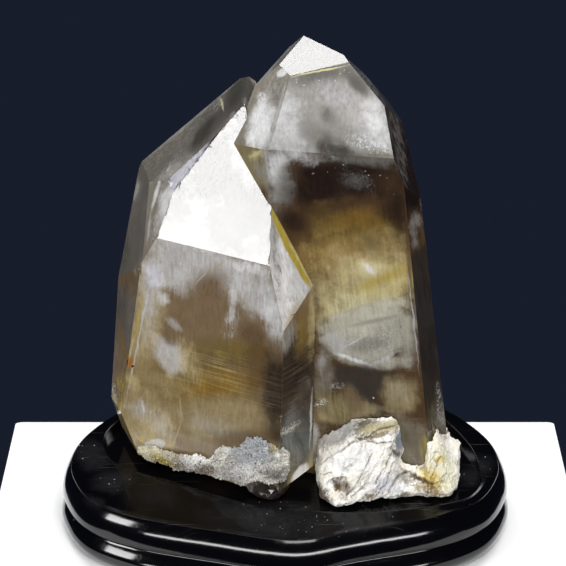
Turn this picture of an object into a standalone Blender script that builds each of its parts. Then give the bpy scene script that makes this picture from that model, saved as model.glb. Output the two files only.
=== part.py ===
"""Lightning quartz: two smoky crystals grown into each other, on a lacquered wooden stand.

Metres, +Z up, the front towards -Y. The origin is the middle of the stand's underside.
"""
import math

import bmesh
import bpy
from mathutils import Matrix, Vector, geometry, noise

MM = 0.001
GAP = 0.3 * MM  # clearance between two solids that touch
OBJECT_NAME = "lightning_quartz"

# Stand, a lobed block of hardwood
STAND_HEIGHT = 24 * MM
STAND_HALF_WIDTH = 77 * MM
STAND_HALF_DEPTH = 49 * MM
# Corner points of half of the rim, from the point at the front round the right side to the back,
# as shares of the half width and the half depth
STAND_RIM = ((0.04, -1.0), (0.33, -0.885), (0.67, -0.74), (0.88, -0.55), (0.985, -0.25), (1.0, 0.0),
             (0.955, 0.27), (0.81, 0.59), (0.6, 0.84), (0.32, 0.97))
STAND_STEPS = 5  # points on the rim between two corner points
NOSE_HEIGHT = 9.5 * MM  # the round edge from the top down
NOSE_BULGE = 2.7 * MM
NOSE_CORNER = 0.5 * MM  # radius where the round edge meets the flat top
NOSE_SLOPE = math.radians(40)  # how far up the round edge faces just below that corner
COVE_HEIGHT = 4 * MM
COVE_DEPTH = 1.5 * MM
BEAD_SHOULDER = 1.4 * MM  # how far out the lower bead starts and ends, and how far it bulges beyond
BEAD_FOOT = 0.6 * MM
BEAD_BULGE = 2.6 * MM
PROFILE_STEPS = 5

# Hollow that the stone drops into: its outline on the stand's top, and its depth
HOLLOW = ((-65, 16), (-61, -3), (-38, -15), (-13, -27), (8, -31), (31, -32), (61, -25),
          (69, -10), (65, 12), (50, 34), (20, 43.5), (-20, 42), (-50, 33))
HOLLOW_DEPTH = 3.5 * MM
HOLLOW_STEPS = 5

# Each facet: azimuth (0 to the front, 90 to the right) and rise in degrees, both in the crystal's
# own frame, and its distance from the crystal's foot in mm.
LEFT_FOOT = Vector((-20.5, 5, 24)) * MM
LEFT_LEAN = (-1.5, -4.0)  # degrees from upright, to the right and to the back
LEFT_FACETS = {
    "front prism": (-26, 10.5, 18.75),
    "right prism": (44.5, 5, 34),
    "inner prism": (95, -2.5, 28.6),
    "back prism": (161, 0, 30),
    "back left prism": (223.5, -8.5, 35.5),
    "left prism": (289.5, 12, 38),
    "mirror face": (-26, 24, 38),
    "right point": (33.5, 19.5, 47.5),
    "inner point": (70.5, 25.5, 62),
    "back point": (159, 42, 112.5),
    "back left point": (213.5, 40.5, 104),
    "left point": (283, 40.5, 76),
    "upper bevel": (-65, 37, 67.9),
    "lower bevel": (-66.5, 26.5, 53.2),
    "left shoulder": (283.5, 19, 47.5),
    "broken corner": (-67, -11, 30.5),
    "broken heel": (-50, -48, 27),
    "broken foot": (66, -79, 1.4),
}
LEFT_UNDERSIDE = 25 * MM  # height of the flat that the crystal is broken off at
RIGHT_FOOT = Vector((29.5, 9, 24)) * MM
RIGHT_LEAN = (-7.5, -3.0)
RIGHT_FACETS = {
    "front prism": (-11.5, 3, 18.5),
    "right prism": (57, 1, 31.5),
    "back right prism": (107.5, 0, 24.2),
    "back prism": (158, 4, 27),
    "back left prism": (222, 4, 32),
    "left prism": (313, 6.5, 33.5),
    "milky point": (-8.5, 30, 74),
    "right point": (101.5, 32, 89.5),
    "right shoulder": (72, 14.5, 56),
    "back point": (127.5, 39.5, 105),
    "back left point": (238, 26, 84.5),
    "tip bevel": (253.5, 50.5, 124.9),
    "left point": (308, 34.5, 89),
    "cap face": (-27, 69.5, 140.5),
}
RIGHT_UNDERSIDE = STAND_HEIGHT - HOLLOW_DEPTH + GAP
BLANK = 400 * MM  # block that a crystal is cut from

# Broken root under the crystals: centre and half sizes of each lump, in mm, and its noise seed
ROOT_LUMPS = (
    ((-10, 12, 25.5), (32, 18, 4.2), 11),
    ((-31, 12, 26), (22, 14, 4.6), 12),
    ((-6, -17.5, 25.6), (7.5, 8.5, 4.0), 13),
)

# Host rock, in blocks that are cut as the crystals are: centre, then facets as above
ROCK_VOXEL = 1.9 * MM
ROCK_ROUGHNESS = 0.9 * MM
ROCK_GRAIN = 6 * MM
ROCK_BLOCKS = {
    "main block": ((26, -12, 34), {
        "left side": (-86, 4, 14.5), "left front": (-8, 13, 11), "right front": (15, 13, 11),
        "upper front": (2, 42, 12), "top": (-20, 80, 14.5), "upper left": (-58, 40, 9.5),
        "right side": (80, 6, 14.5), "back": (180, 0, 8), "underside": (0, -90, 13)}),
    "slab": ((30, -12, 43), {
        "left side": (-80, 40, 8), "front": (0, 24, 5), "top": (-40, 72, 5.5),
        "right side": (70, 12, 10), "back": (180, 0, 6), "underside": (0, -80, 7)}),
    "lower ledge": ((38, -14, 25), {
        "left side": (-90, 0, 22), "front": (15, 8, 8.5), "top": (5, 62, 5.5),
        "right side": (85, 0, 24), "back": (180, 0, 12), "underside": (0, -90, 4)}),
    "right wedge": ((57, -10, 30), {
        "left side": (-90, 0, 8), "front": (20, 18, 8), "top": (80, 50, 10.4),
        "top left": (-60, 62, 14.5), "upper right": (85, 24, 2.4), "right side": (85, 3, 3.4),
        "back": (165, 10, 9), "underside": (0, -90, 9)}),
}

# Crust of fine grains on the left crystal's foot: centre, half sizes (along the face, out of it,
# up it), in mm, and its noise seed
CRUST_LUMPS = (
    ((-7.5, -20.0, 37), (11, 3.8, 10), 21),
    ((-16.5, -16.8, 33), (10, 3.8, 8), 22),
    ((-27, -12, 29), (10, 3.0, 4.6), 23),
    ((-36, -8.6, 28), (9, 2.6, 3.6), 24),
    ((-46, -4, 28), (8, 2.4, 3.2), 25),
)
CRUST_VOXEL = 1.4 * MM
CRUST_ROUGHNESS = 1.0 * MM
CRUST_GRAIN = 3.2 * MM
CRUST_FLOOR = 24.6 * MM  # the crust ends just above the stand's top
ROCK_FLOOR = STAND_HEIGHT - HOLLOW_DEPTH + GAP  # the rock rests in the hollow


def clear_scene():
    for old in list(bpy.data.objects):
        bpy.data.objects.remove(old)


def make_collection(name):
    collection = bpy.data.collections.new(name)
    bpy.context.scene.collection.children.link(collection)
    return collection


def paint(name, color, roughness, metallic=0.0):
    """A plain material with the piece's colour."""
    material = bpy.data.materials.new(name)
    material.use_nodes = True
    shader = material.node_tree.nodes["Principled BSDF"]
    shader.inputs["Base Color"].default_value = (*color, 1.0)
    shader.inputs["Roughness"].default_value = roughness
    shader.inputs["Metallic"].default_value = metallic
    return material


def object_from(bm, name, collection):
    mesh = bpy.data.meshes.new(name)
    bm.normal_update()
    bm.to_mesh(mesh)
    bm.free()
    piece = bpy.data.objects.new(name, mesh)
    collection.objects.link(piece)
    return piece


def as_cutter(piece):
    piece.hide_render = True
    piece.display_type = "WIRE"


def boolean(piece, other, operation):
    """Applies an exact Boolean and leaves the other object as it is."""
    modifier = piece.modifiers.new(operation.lower(), "BOOLEAN")
    modifier.object = other
    modifier.operation = operation
    modifier.solver = "EXACT"
    apply_modifiers(piece)


def apply_modifiers(piece):
    bpy.context.view_layer.update()
    evaluated = piece.evaluated_get(bpy.context.evaluated_depsgraph_get())
    mesh = bpy.data.meshes.new_from_object(evaluated)
    piece.modifiers.clear()
    piece.data = mesh


def facet_normal(azimuth, rise):
    turn = math.radians(azimuth)
    lift = math.radians(rise)
    return Vector((math.sin(turn) * math.cos(lift), -math.cos(turn) * math.cos(lift), math.sin(lift)))


def leaning_frame(lean_right, lean_back):
    """Turns a crystal's own axes so that its long axis leans."""
    up = Vector((math.tan(math.radians(lean_right)), math.tan(math.radians(lean_back)), 1)).normalized()
    right = (Vector((1, 0, 0)) - up.x * up).normalized()
    return Matrix((right, up.cross(right), up)).transposed()


def slice_off(bm, point, normal):
    """One flat cut through a point, closed again with a face."""
    geom = bm.verts[:] + bm.edges[:] + bm.faces[:]
    cut = bmesh.ops.bisect_plane(bm, geom=geom, dist=1e-7, plane_co=point, plane_no=normal, clear_outer=True)
    rim = [item for item in cut["geom_cut"] if isinstance(item, bmesh.types.BMEdge)]
    bmesh.ops.contextual_create(bm, geom=rim)


def faceted(facets, centre, frame=None, underside=None, grow=0.0):
    """A block with one flat cut for each facet; grow moves every facet outwards."""
    bm = bmesh.new()
    bmesh.ops.create_cube(bm, size=BLANK)
    bmesh.ops.translate(bm, vec=centre, verts=bm.verts)
    for azimuth, rise, distance in facets.values():
        normal = facet_normal(azimuth, rise)
        if frame:
            normal = frame @ normal
        slice_off(bm, centre + normal * (distance * MM + grow), normal)
    if underside is not None:
        slice_off(bm, Vector((0, 0, underside - grow)), Vector((0, 0, -1)))
    bmesh.ops.remove_doubles(bm, verts=bm.verts, dist=0.02 * MM)
    bmesh.ops.dissolve_degenerate(bm, edges=bm.edges, dist=0.02 * MM)
    return bm


def roughen(bm, amount, grain, seed):
    """Pushes the points in and out by smooth noise."""
    shift = Vector((seed * 3.1, seed * 1.7, seed * 2.3))
    bm.normal_update()
    for vert in bm.verts:
        place = vert.co / grain + shift
        vert.co += vert.normal * amount * (noise.noise(place) + 0.5 * noise.noise(place * 2.3))


def grainy(piece, voxel, amount, grain, seed):
    """Remeshes a piece evenly and roughens it like broken rock."""
    remesh = piece.modifiers.new("grain", "REMESH")
    remesh.mode = "VOXEL"
    remesh.voxel_size = voxel
    apply_modifiers(piece)
    bm = bmesh.new()
    bm.from_mesh(piece.data)
    roughen(bm, amount, grain, seed)
    bm.to_mesh(piece.data)
    bm.free()


def lump(centre, half_sizes, roughness, grain, seed, turn=0.0, rise=0.0):
    """A rough flattened ball."""
    bm = bmesh.new()
    bmesh.ops.create_icosphere(bm, subdivisions=3, radius=1.0)
    bmesh.ops.scale(bm, vec=Vector(half_sizes) * MM, verts=bm.verts)
    roughen(bm, roughness, grain, seed)
    spin = Matrix.Rotation(math.radians(turn), 3, "Z") @ Matrix.Rotation(math.radians(rise), 3, "X")
    bmesh.ops.rotate(bm, cent=(0, 0, 0), matrix=spin, verts=bm.verts)
    bmesh.ops.translate(bm, vec=Vector(centre) * MM, verts=bm.verts)
    return bm


def join_all(pieces):
    """Unites the pieces into the first one."""
    first = pieces[0]
    for other in pieces[1:]:
        boolean(first, other, "UNION")
        bpy.data.objects.remove(other)
    return first


def smooth_ring(corners, steps):
    """A closed round curve through the corner points, by Bezier pieces with level tangents."""
    count = len(corners)
    ring = []
    for index in range(count):
        before, start, end, after = (corners[(index + k) % count] for k in (-1, 0, 1, 2))
        handle_out = start + (end - before) / 6
        handle_in = end - (after - start) / 6
        ring += geometry.interpolate_bezier(start, handle_out, handle_in, end, steps + 1)[:-1]
    return ring


def ring_normals(ring):
    """Outward directions, in plan, of a ring that runs anticlockwise."""
    count = len(ring)
    normals = []
    for index in range(count):
        along = ring[(index + 1) % count] - ring[index - 1]
        normals.append(Vector((along.y, -along.x, 0)).normalized())
    return normals


def stand_profile():
    """Heights and outward offsets from the rim line, from the underside up to the top."""
    cove_top = STAND_HEIGHT - NOSE_HEIGHT
    cove_foot = cove_top - COVE_HEIGHT
    profile = []
    for step in range(PROFILE_STEPS + 1):
        share = step / PROFILE_STEPS
        straight = BEAD_FOOT + (BEAD_SHOULDER - BEAD_FOOT) * share
        profile.append((cove_foot * share, straight + BEAD_BULGE * math.sin(math.pi * share)))
    for step in range(1, PROFILE_STEPS):
        share = step / PROFILE_STEPS
        straight = BEAD_SHOULDER + (NOSE_BULGE - BEAD_SHOULDER) * share
        profile.append((cove_foot + COVE_HEIGHT * share, straight - COVE_DEPTH * math.sin(math.pi * share)))
    corner_height = NOSE_CORNER * (1 - math.sin(NOSE_SLOPE))
    nose_radius = (NOSE_HEIGHT - corner_height) / math.sin(NOSE_SLOPE)
    for step in range(PROFILE_STEPS + 1):
        angle = NOSE_SLOPE * step / PROFILE_STEPS
        reach = NOSE_BULGE - nose_radius * (1 - math.cos(angle))
        profile.append((cove_top + nose_radius * math.sin(angle), reach))
    profile.append((STAND_HEIGHT, profile[-1][1] - NOSE_CORNER * math.cos(NOSE_SLOPE)))
    return profile


def loft(rings):
    """A closed body through rings of the same number of points, from the lowest up."""
    bm = bmesh.new()
    rows = [[bm.verts.new(point) for point in ring] for ring in rings]
    for low, high in zip(rows, rows[1:]):
        for index in range(len(low)):
            after = (index + 1) % len(low)
            bm.faces.new((low[index], low[after], high[after], high[index]))
    bm.faces.new(reversed(rows[0]))
    bm.faces.new(rows[-1])
    return bm


def make_stand(collection, cutters):
    right_half = [Vector((x * STAND_HALF_WIDTH, y * STAND_HALF_DEPTH, 0)) for x, y in STAND_RIM]
    left_half = [Vector((-point.x, point.y, 0)) for point in right_half[:0:-1]]
    back = Vector((0, STAND_HALF_DEPTH, 0))
    rim = smooth_ring(right_half + [back] + left_half, STAND_STEPS)
    outward = ring_normals(rim)
    rings = []
    for height, offset in stand_profile():
        rings.append([point + out * offset + Vector((0, 0, height)) for point, out in zip(rim, outward)])
    stand = object_from(loft(rings), "stand", collection)

    hollow = smooth_ring([Vector((x, y, 0)) * MM for x, y in HOLLOW], HOLLOW_STEPS)
    floor = STAND_HEIGHT - HOLLOW_DEPTH
    levels = (floor, STAND_HEIGHT + HOLLOW_DEPTH)
    cutter_rings = [[point + Vector((0, 0, level)) for point in hollow] for level in levels]
    cutter = object_from(loft(cutter_rings), "hollow_cutter", cutters)
    as_cutter(cutter)
    boolean(stand, cutter, "DIFFERENCE")
    stand.data.shade_smooth()
    stand.data.set_sharp_from_angle(angle=math.radians(35))
    return stand


def make_quartz(collection, name, grow=0.0):
    """Both crystals and their broken root, in one solid."""
    left = faceted(LEFT_FACETS, LEFT_FOOT, leaning_frame(*LEFT_LEAN), LEFT_UNDERSIDE, grow)
    right = faceted(RIGHT_FACETS, RIGHT_FOOT, leaning_frame(*RIGHT_LEAN), RIGHT_UNDERSIDE, grow)
    pieces = [object_from(right, name, collection), object_from(left, name + "_left", collection)]
    for number, (centre, half_sizes, seed) in enumerate(ROOT_LUMPS):
        sizes = [size + grow / MM for size in half_sizes]
        rough = lump(centre, sizes, 0.8 * MM, 7 * MM, seed)
        pieces.append(object_from(rough, f"{name}_root_{number}", collection))
    return join_all(pieces)


def cut_flat(piece, height, cutters):
    """Takes off everything below a height."""
    bm = bmesh.new()
    bmesh.ops.create_cube(bm, size=BLANK)
    bmesh.ops.translate(bm, vec=(0, 0, height - BLANK / 2), verts=bm.verts)
    below = object_from(bm, piece.name + "_floor_cutter", cutters)
    as_cutter(below)
    boolean(piece, below, "DIFFERENCE")


def make_matrix(collection, grown_quartz, cutters):
    """Cleaved host rock round the right crystal's foot."""
    pieces = []
    for number, (centre, facets) in enumerate(ROCK_BLOCKS.values()):
        block = faceted(facets, Vector(centre) * MM)
        pieces.append(object_from(block, f"feldspar_matrix_{number}", collection))
    rock = join_all(pieces)
    rock.name = "feldspar_matrix"
    grainy(rock, ROCK_VOXEL, ROCK_ROUGHNESS, ROCK_GRAIN, 31)
    cut_flat(rock, ROCK_FLOOR, cutters)
    boolean(rock, grown_quartz, "DIFFERENCE")
    keep_largest(rock)
    return rock


def make_crust(collection, grown_quartz, cutters):
    """Fine grains over the left crystal's foot, cut to fit against its face."""
    turn = LEFT_FACETS["front prism"][0]
    pieces = []
    for number, (centre, half_sizes, seed) in enumerate(CRUST_LUMPS):
        rough = lump(centre, half_sizes, CRUST_ROUGHNESS, CRUST_GRAIN, seed, turn=turn, rise=-8)
        pieces.append(object_from(rough, f"druse_crust_{number}", collection))
    crust = join_all(pieces)
    crust.name = "druse_crust"
    grainy(crust, CRUST_VOXEL, CRUST_ROUGHNESS, CRUST_GRAIN, 32)
    cut_flat(crust, CRUST_FLOOR, cutters)
    boolean(crust, grown_quartz, "DIFFERENCE")
    keep_largest(crust)
    return crust


def keep_largest(piece):
    """Drops the loose crumbs that a cut leaves."""
    bm = bmesh.new()
    bm.from_mesh(piece.data)
    bm.verts.ensure_lookup_table()
    seen = set()
    islands = []
    for vert in bm.verts:
        if vert.index in seen:
            continue
        island = []
        front = [vert]
        seen.add(vert.index)
        while front:
            here = front.pop()
            island.append(here)
            for edge in here.link_edges:
                other = edge.other_vert(here)
                if other.index not in seen:
                    seen.add(other.index)
                    front.append(other)
        islands.append(island)
    islands.sort(key=len)
    for island in islands[:-1]:
        bmesh.ops.delete(bm, geom=island, context="VERTS")
    bm.to_mesh(piece.data)
    bm.free()


def main():
    clear_scene()
    parts = make_collection(OBJECT_NAME)
    cutters = make_collection("cutters")

    stand = make_stand(parts, cutters)
    stand.data.materials.append(paint("black lacquer", (0.012, 0.011, 0.014), 0.12))

    quartz = make_quartz(parts, "quartz_crystals")
    quartz.data.materials.clear()
    quartz.data.materials.append(paint("smoky quartz", (0.72, 0.68, 0.58), 0.08))

    grown = make_quartz(cutters, "grown_quartz", GAP)
    as_cutter(grown)

    matrix = make_matrix(parts, grown, cutters)
    matrix.data.materials.clear()
    matrix.data.materials.append(paint("cream feldspar", (0.86, 0.82, 0.72), 0.65))

    crust = make_crust(parts, grown, cutters)
    crust.data.materials.clear()
    crust.data.materials.append(paint("grey druse", (0.62, 0.64, 0.62), 0.5))


main()
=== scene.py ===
"""Lightning quartz: the finish of two smoky crystals grown together, on a lacquered stand."""
import math
import random

import bmesh
import bpy
import numpy
from mathutils import Matrix, Vector, geometry, noise
from mathutils.bvhtree import BVHTree
from mathutils.kdtree import KDTree


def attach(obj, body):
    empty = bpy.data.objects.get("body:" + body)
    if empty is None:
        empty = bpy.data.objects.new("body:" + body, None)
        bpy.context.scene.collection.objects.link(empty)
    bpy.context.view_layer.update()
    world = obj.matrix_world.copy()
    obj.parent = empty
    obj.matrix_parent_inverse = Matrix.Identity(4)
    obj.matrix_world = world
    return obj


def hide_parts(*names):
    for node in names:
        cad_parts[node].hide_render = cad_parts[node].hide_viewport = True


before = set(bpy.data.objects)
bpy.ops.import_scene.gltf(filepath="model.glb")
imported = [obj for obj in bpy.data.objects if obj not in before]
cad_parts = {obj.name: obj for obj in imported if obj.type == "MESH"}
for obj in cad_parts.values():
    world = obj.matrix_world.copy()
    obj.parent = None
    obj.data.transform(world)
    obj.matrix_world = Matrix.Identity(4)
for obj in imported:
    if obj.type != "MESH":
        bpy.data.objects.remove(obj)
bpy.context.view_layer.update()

# STUDIO. A pale table top that ends behind the stand, a plain dark room, and soft boxes of light.
# Two of them stand where the crystals' largest bright faces mirror them to the camera, and two
# stand behind and light the crystals' sides.
MM = 0.001
CAMERA_AIM = Vector((-0.7, 1.0, 95.5)) * MM
CAMERA_RISE = math.radians(30)
CAMERA_DISTANCE = 600 * MM
CAMERA_LENS = 112.3
SENSOR = 36.0
NEAREST_SEEN = 10 * MM
TABLE_WIDTH = 212 * MM
TABLE_BACK = 57 * MM
TABLE_FRONT = -65 * MM
TABLE_THICKNESS = 18 * MM
TABLE_ROUNDING = 12 * MM
TABLE_COLOR = (0.85, 0.85, 0.85, 1)
ROOM_COLOR = (0.0095, 0.0125, 0.024, 1)
MIRROR_BOXES = {  # outward direction of the bright face, distance from it, side of the box, brightness
    "window_box": ((-0.41, -0.85, 0.34), 0.62, 0.16, 17),  # for the left crystal's large face
    "ceiling_box": ((-0.28, -0.36, 0.89), 0.7, 0.14, 12.5),  # for the right crystal's cap
}
SOFT_BOXES = {  # place, side of the box, brightness
    "fill_box": ((0.10, -0.70, 0.84), 0.55, 9.5),
    "top_box": ((0, 0.1, 1.2), 0.6, 4),
    "back_box_right": ((0.62, 0.72, 0.72), 0.5, 8),
    "back_box_left": ((-0.66, 0.74, 0.66), 0.4, 6),
}
STRIP_PLACE = Vector((0, -0.62, 0.57 * math.radians(7)))  # low in front, for the stand's moulded edge
STRIP_AIM = Vector((0, -0.05, 0.019))
STRIP_WIDTH = 0.95
STRIP_HEIGHT = 0.06
STRIP_BRIGHTNESS = 13


def new_material(name, **values):
    """A material with plain values on its Principled shader."""
    material = bpy.data.materials.new(name)
    material.use_nodes = True
    shader = material.node_tree.nodes["Principled BSDF"]
    for key, value in values.items():
        shader.inputs[key.replace("_", " ")].default_value = value
    return material, material.node_tree, shader


def softbox(name, place, aim, width, height, brightness):
    """A rectangular soft light that faces the point aim, with the brightness of its own surface."""
    lamp = bpy.data.lights.new(name, "AREA")
    lamp.shape = "RECTANGLE"
    lamp.size = width
    lamp.size_y = height
    lamp.energy = brightness * math.pi * width * height
    holder = bpy.data.objects.new(name, lamp)
    holder.location = place
    holder.rotation_euler = (aim - place).to_track_quat("-Z", "Y").to_euler()
    holder.visible_camera = False
    bpy.context.scene.collection.objects.link(holder)


view_line = Vector((0, math.cos(CAMERA_RISE), -math.sin(CAMERA_RISE)))
camera_place = CAMERA_AIM - view_line * CAMERA_DISTANCE
camera = bpy.data.objects.new("camera", bpy.data.cameras.new("camera"))
camera.location = camera_place
camera.rotation_euler = (math.pi / 2 - CAMERA_RISE, 0, 0)
camera.data.lens = CAMERA_LENS
camera.data.sensor_width = SENSOR
camera.data.clip_start = NEAREST_SEEN
bpy.context.scene.collection.objects.link(camera)
bpy.context.scene.camera = camera

bpy.ops.mesh.primitive_cube_add(size=1)
table = bpy.context.object
table.name = "table_top"
table.scale = (TABLE_WIDTH, TABLE_BACK - TABLE_FRONT, TABLE_THICKNESS)
table.location = (0, (TABLE_BACK + TABLE_FRONT) / 2, -TABLE_THICKNESS / 2)
table_edge = table.modifiers.new("rounded edge", "BEVEL")
table_edge.width = TABLE_ROUNDING
table_edge.segments = 4
table.data.materials.append(new_material("pale_table", Base_Color=TABLE_COLOR, Roughness=0.55)[0])

world = bpy.data.worlds.new("room")
world.use_nodes = True
world.node_tree.nodes["Background"].inputs["Color"].default_value = ROOM_COLOR
bpy.context.scene.world = world
bpy.context.scene.view_settings.view_transform = "Standard"

quartz_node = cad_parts["quartz_crystals"]


def mirror_way(facing):
    """Centre and mirror direction, towards a lamp, of the solid's face that looks most that way."""
    faces = [f for f in quartz_node.data.polygons if f.normal.dot(Vector(facing).normalized()) > 0.999]
    area = sum(f.area for f in faces)
    centre = sum((f.center * f.area for f in faces), Vector()) / area
    normal = faces[0].normal
    eye = (camera_place - centre).normalized()
    return centre, 2 * normal.dot(eye) * normal - eye


for name, (facing, distance, side, brightness) in MIRROR_BOXES.items():
    centre, way = mirror_way(facing)
    softbox(name, centre + way * distance, centre, side, side, brightness)
for name, (place, side, brightness) in SOFT_BOXES.items():
    softbox(name, Vector(place), CAMERA_AIM, side, side, brightness)
softbox("low_strip", STRIP_PLACE, STRIP_AIM, STRIP_WIDTH, STRIP_HEIGHT, STRIP_BRIGHTNESS)

# STAND. A lobed block of hardwood with a round nose, a cove and a lower bead, hollowed for the stone.
# It is coated in black lacquer, glossy but with orange peel, dust on top and a few hair scratches. The dust
# specks at the left corner and along the rim at the left are also painted highlights.
STAND_HEIGHT = 24 * MM
STAND_HALF_WIDTH = 77 * MM
STAND_HALF_DEPTH = 49 * MM
# Half of the rim, in half widths and half depths
STAND_RIM = ((0.04, -1.0), (0.33, -0.885), (0.67, -0.74), (0.88, -0.55), (0.985, -0.25), (1.0, 0.0),
             (0.955, 0.27), (0.81, 0.59), (0.6, 0.84), (0.32, 0.97))
NOSE_HEIGHT = 9.5 * MM
NOSE_BULGE = 2.7 * MM
NOSE_CORNER = 0.5 * MM
NOSE_SLOPE = math.radians(40)
COVE_HEIGHT = 4 * MM
COVE_DEPTH = 1.5 * MM
BEAD_SHOULDER = 1.4 * MM
BEAD_FOOT = 0.6 * MM
BEAD_BULGE = 2.6 * MM
RIM_DIP = ((0.5, -0.02), (1.1, -0.12), (1.9, -0.18), (3.0, -0.15))  # mm inwards from the rim, mm down
HOLLOW = ((-65, 16), (-61, -3), (-38, -15), (-13, -27), (8, -31), (31, -32), (61, -25),
          (69, -10), (65, 12), (50, 34), (20, 43.5), (-20, 42), (-50, 33))  # its mouth from above, in mm
HOLLOW_DEPTH = 3.3 * MM
HOLLOW_CORNER = 0.7 * MM
FLOOR_RINGS = (0.1, 0.3, 0.6, 0.9)  # shares of the way from the hollow's side to its middle
CURVE_STEPS = 16
TOP_RINGS = 10
PROFILE_STEPS = 14
CORNER_STEPS = 4
RIM_POINTS = 320
STAND_CENTRE = Vector((0, 5, 0)) * MM
CARVING = 0.05 * MM  # unevenness left by hand
CARVING_LUMPS = ((14 * MM, 1), (5 * MM, 0.5), (2.4 * MM, 0.2))  # size and share of its lumps
CARVING_SINK = 0.9  # keeps the lumps inside the outline
FLAT_FOOT = 0.5 * MM  # height up to which the stand isn't carved
STAND_CREASE = math.radians(50)


def smooth_ring(corners):
    """A closed round curve through the corner points, by Bezier pieces with level tangents."""
    count = len(corners)
    ring = []
    for index in range(count):
        before, start, end, after = (corners[(index + k) % count] for k in (-1, 0, 1, 2))
        handle_out = start + (end - before) / 6
        handle_in = end - (after - start) / 6
        ring += geometry.interpolate_bezier(start, handle_out, handle_in, end, CURVE_STEPS + 1)[:-1]
    return ring


def even_ring(corners):
    """The same curve, with its points at even angles about the stand's centre."""
    spokes = [point - STAND_CENTRE for point in smooth_ring(corners)]
    angles = [math.atan2(spoke.y, spoke.x) for spoke in spokes]
    order = numpy.argsort(angles)
    reach = [spokes[index].length for index in order]
    turns = numpy.linspace(-math.pi, math.pi, RIM_POINTS, endpoint=False)
    radii = numpy.interp(turns, [angles[index] for index in order], reach, period=2 * math.pi)
    return [STAND_CENTRE + Vector((math.cos(turn), math.sin(turn), 0)) * radius
            for turn, radius in zip(turns, radii)]


def outward_ways(ring):
    """Level directions that point away from a ring, at each of its points."""
    ways = []
    for index in range(len(ring)):
        along = ring[(index + 1) % len(ring)] - ring[index - 1]
        ways.append(Vector((along.y, -along.x, 0)).normalized())
    return ways


def ring_at(ring, ways, reach, height):
    """A ring moved outwards and up."""
    return [point + way * reach + Vector((0, 0, height)) for point, way in zip(ring, ways)]


def swelling(low, height, foot, shoulder, bulge):
    """Profile of a bead, or of a cove where bulge is negative: heights, and reach beyond the rim."""
    shares = [step / PROFILE_STEPS for step in range(PROFILE_STEPS + 1)]
    return [(low + height * share, foot + (shoulder - foot) * share + bulge * math.sin(math.pi * share))
            for share in shares]


def loft(rings):
    """A closed body through rings of as many points each, from the lowest to the innermost."""
    bm = bmesh.new()
    rows = [[bm.verts.new(point) for point in ring] for ring in rings]
    for low, high in zip(rows, rows[1:]):
        for index in range(len(low)):
            after = (index + 1) % len(low)
            bm.faces.new((low[index], low[after], high[after], high[index]))
    bm.faces.new(reversed(rows[0]))
    bm.faces.new(rows[-1])
    return bm


def piece_from(bm, name):
    """A new object with this mesh."""
    mesh = bpy.data.meshes.new(name)
    bm.to_mesh(mesh)
    bm.free()
    piece = bpy.data.objects.new(name, mesh)
    bpy.context.scene.collection.objects.link(piece)
    return piece


def rough(point, size):
    """Smooth noise about zero, at most about one, with lumps of the given size."""
    return noise.noise(point / size)


def lumpy(point, lumps):
    """Sum of such noises, each with its size and share."""
    return sum(share * rough(point, size) for size, share in lumps)


right_half = [Vector((x * STAND_HALF_WIDTH, y * STAND_HALF_DEPTH, 0)) for x, y in STAND_RIM]
left_half = [Vector((-point.x, point.y, 0)) for point in right_half[:0:-1]]
rim = even_ring(right_half + [Vector((0, STAND_HALF_DEPTH, 0))] + left_half)
outward = outward_ways(rim)
cove_top = STAND_HEIGHT - NOSE_HEIGHT
cove_foot = cove_top - COVE_HEIGHT
profile = swelling(0, cove_foot, BEAD_FOOT, BEAD_SHOULDER, BEAD_BULGE)
profile += swelling(cove_foot, COVE_HEIGHT, BEAD_SHOULDER, NOSE_BULGE, -COVE_DEPTH)[1:-1]
corner_height = NOSE_CORNER * (1 - math.sin(NOSE_SLOPE))
nose_radius = (NOSE_HEIGHT - corner_height) / math.sin(NOSE_SLOPE)
for step in range(PROFILE_STEPS + 1):
    angle = NOSE_SLOPE * step / PROFILE_STEPS
    reach = NOSE_BULGE - nose_radius * (1 - math.cos(angle))
    profile.append((cove_top + nose_radius * math.sin(angle), reach))
rim_line = profile[-1][1] - NOSE_CORNER * math.cos(NOSE_SLOPE)
for step in range(1, CORNER_STEPS + 1):
    angle = NOSE_SLOPE + (math.pi / 2 - NOSE_SLOPE) * step / CORNER_STEPS
    height = STAND_HEIGHT - NOSE_CORNER * (1 - math.sin(angle))
    profile.append((height, rim_line + NOSE_CORNER * math.cos(angle)))
profile += [(STAND_HEIGHT + height * MM, rim_line - inwards * MM) for inwards, height in RIM_DIP]
rings = [ring_at(rim, outward, reach, height) for height, reach in profile]
mouth = even_ring([Vector((x, y, 0)) * MM for x, y in HOLLOW])
mouth_ways = outward_ways(mouth)
top_rim = rings[-1]
lip = ring_at(mouth, mouth_ways, HOLLOW_CORNER, STAND_HEIGHT)
rings += [[a.lerp(b, step / TOP_RINGS) for a, b in zip(top_rim, lip)] for step in range(1, TOP_RINGS + 1)]
for step in range(1, CORNER_STEPS + 1):
    angle = math.pi / 2 * step / CORNER_STEPS
    height = STAND_HEIGHT - HOLLOW_CORNER * (1 - math.cos(angle))
    rings.append(ring_at(mouth, mouth_ways, HOLLOW_CORNER * (1 - math.sin(angle)), height))
foot_ring = ring_at(mouth, mouth_ways, 0, STAND_HEIGHT - HOLLOW_DEPTH)
floor_centre = STAND_CENTRE + Vector((0, 0, STAND_HEIGHT - HOLLOW_DEPTH))
rings.append(foot_ring)
rings += [[point.lerp(floor_centre, share) for point in foot_ring] for share in FLOOR_RINGS]
bm = loft(rings)
bm.normal_update()
for vert in bm.verts:
    if vert.co.z > FLAT_FOOT:
        vert.co += vert.normal * CARVING * (lumpy(vert.co, CARVING_LUMPS) - CARVING_SINK)
stand = piece_from(bm, "lacquered_stand")
stand.data.shade_smooth()
stand.data.set_sharp_from_angle(angle=STAND_CREASE)


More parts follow.
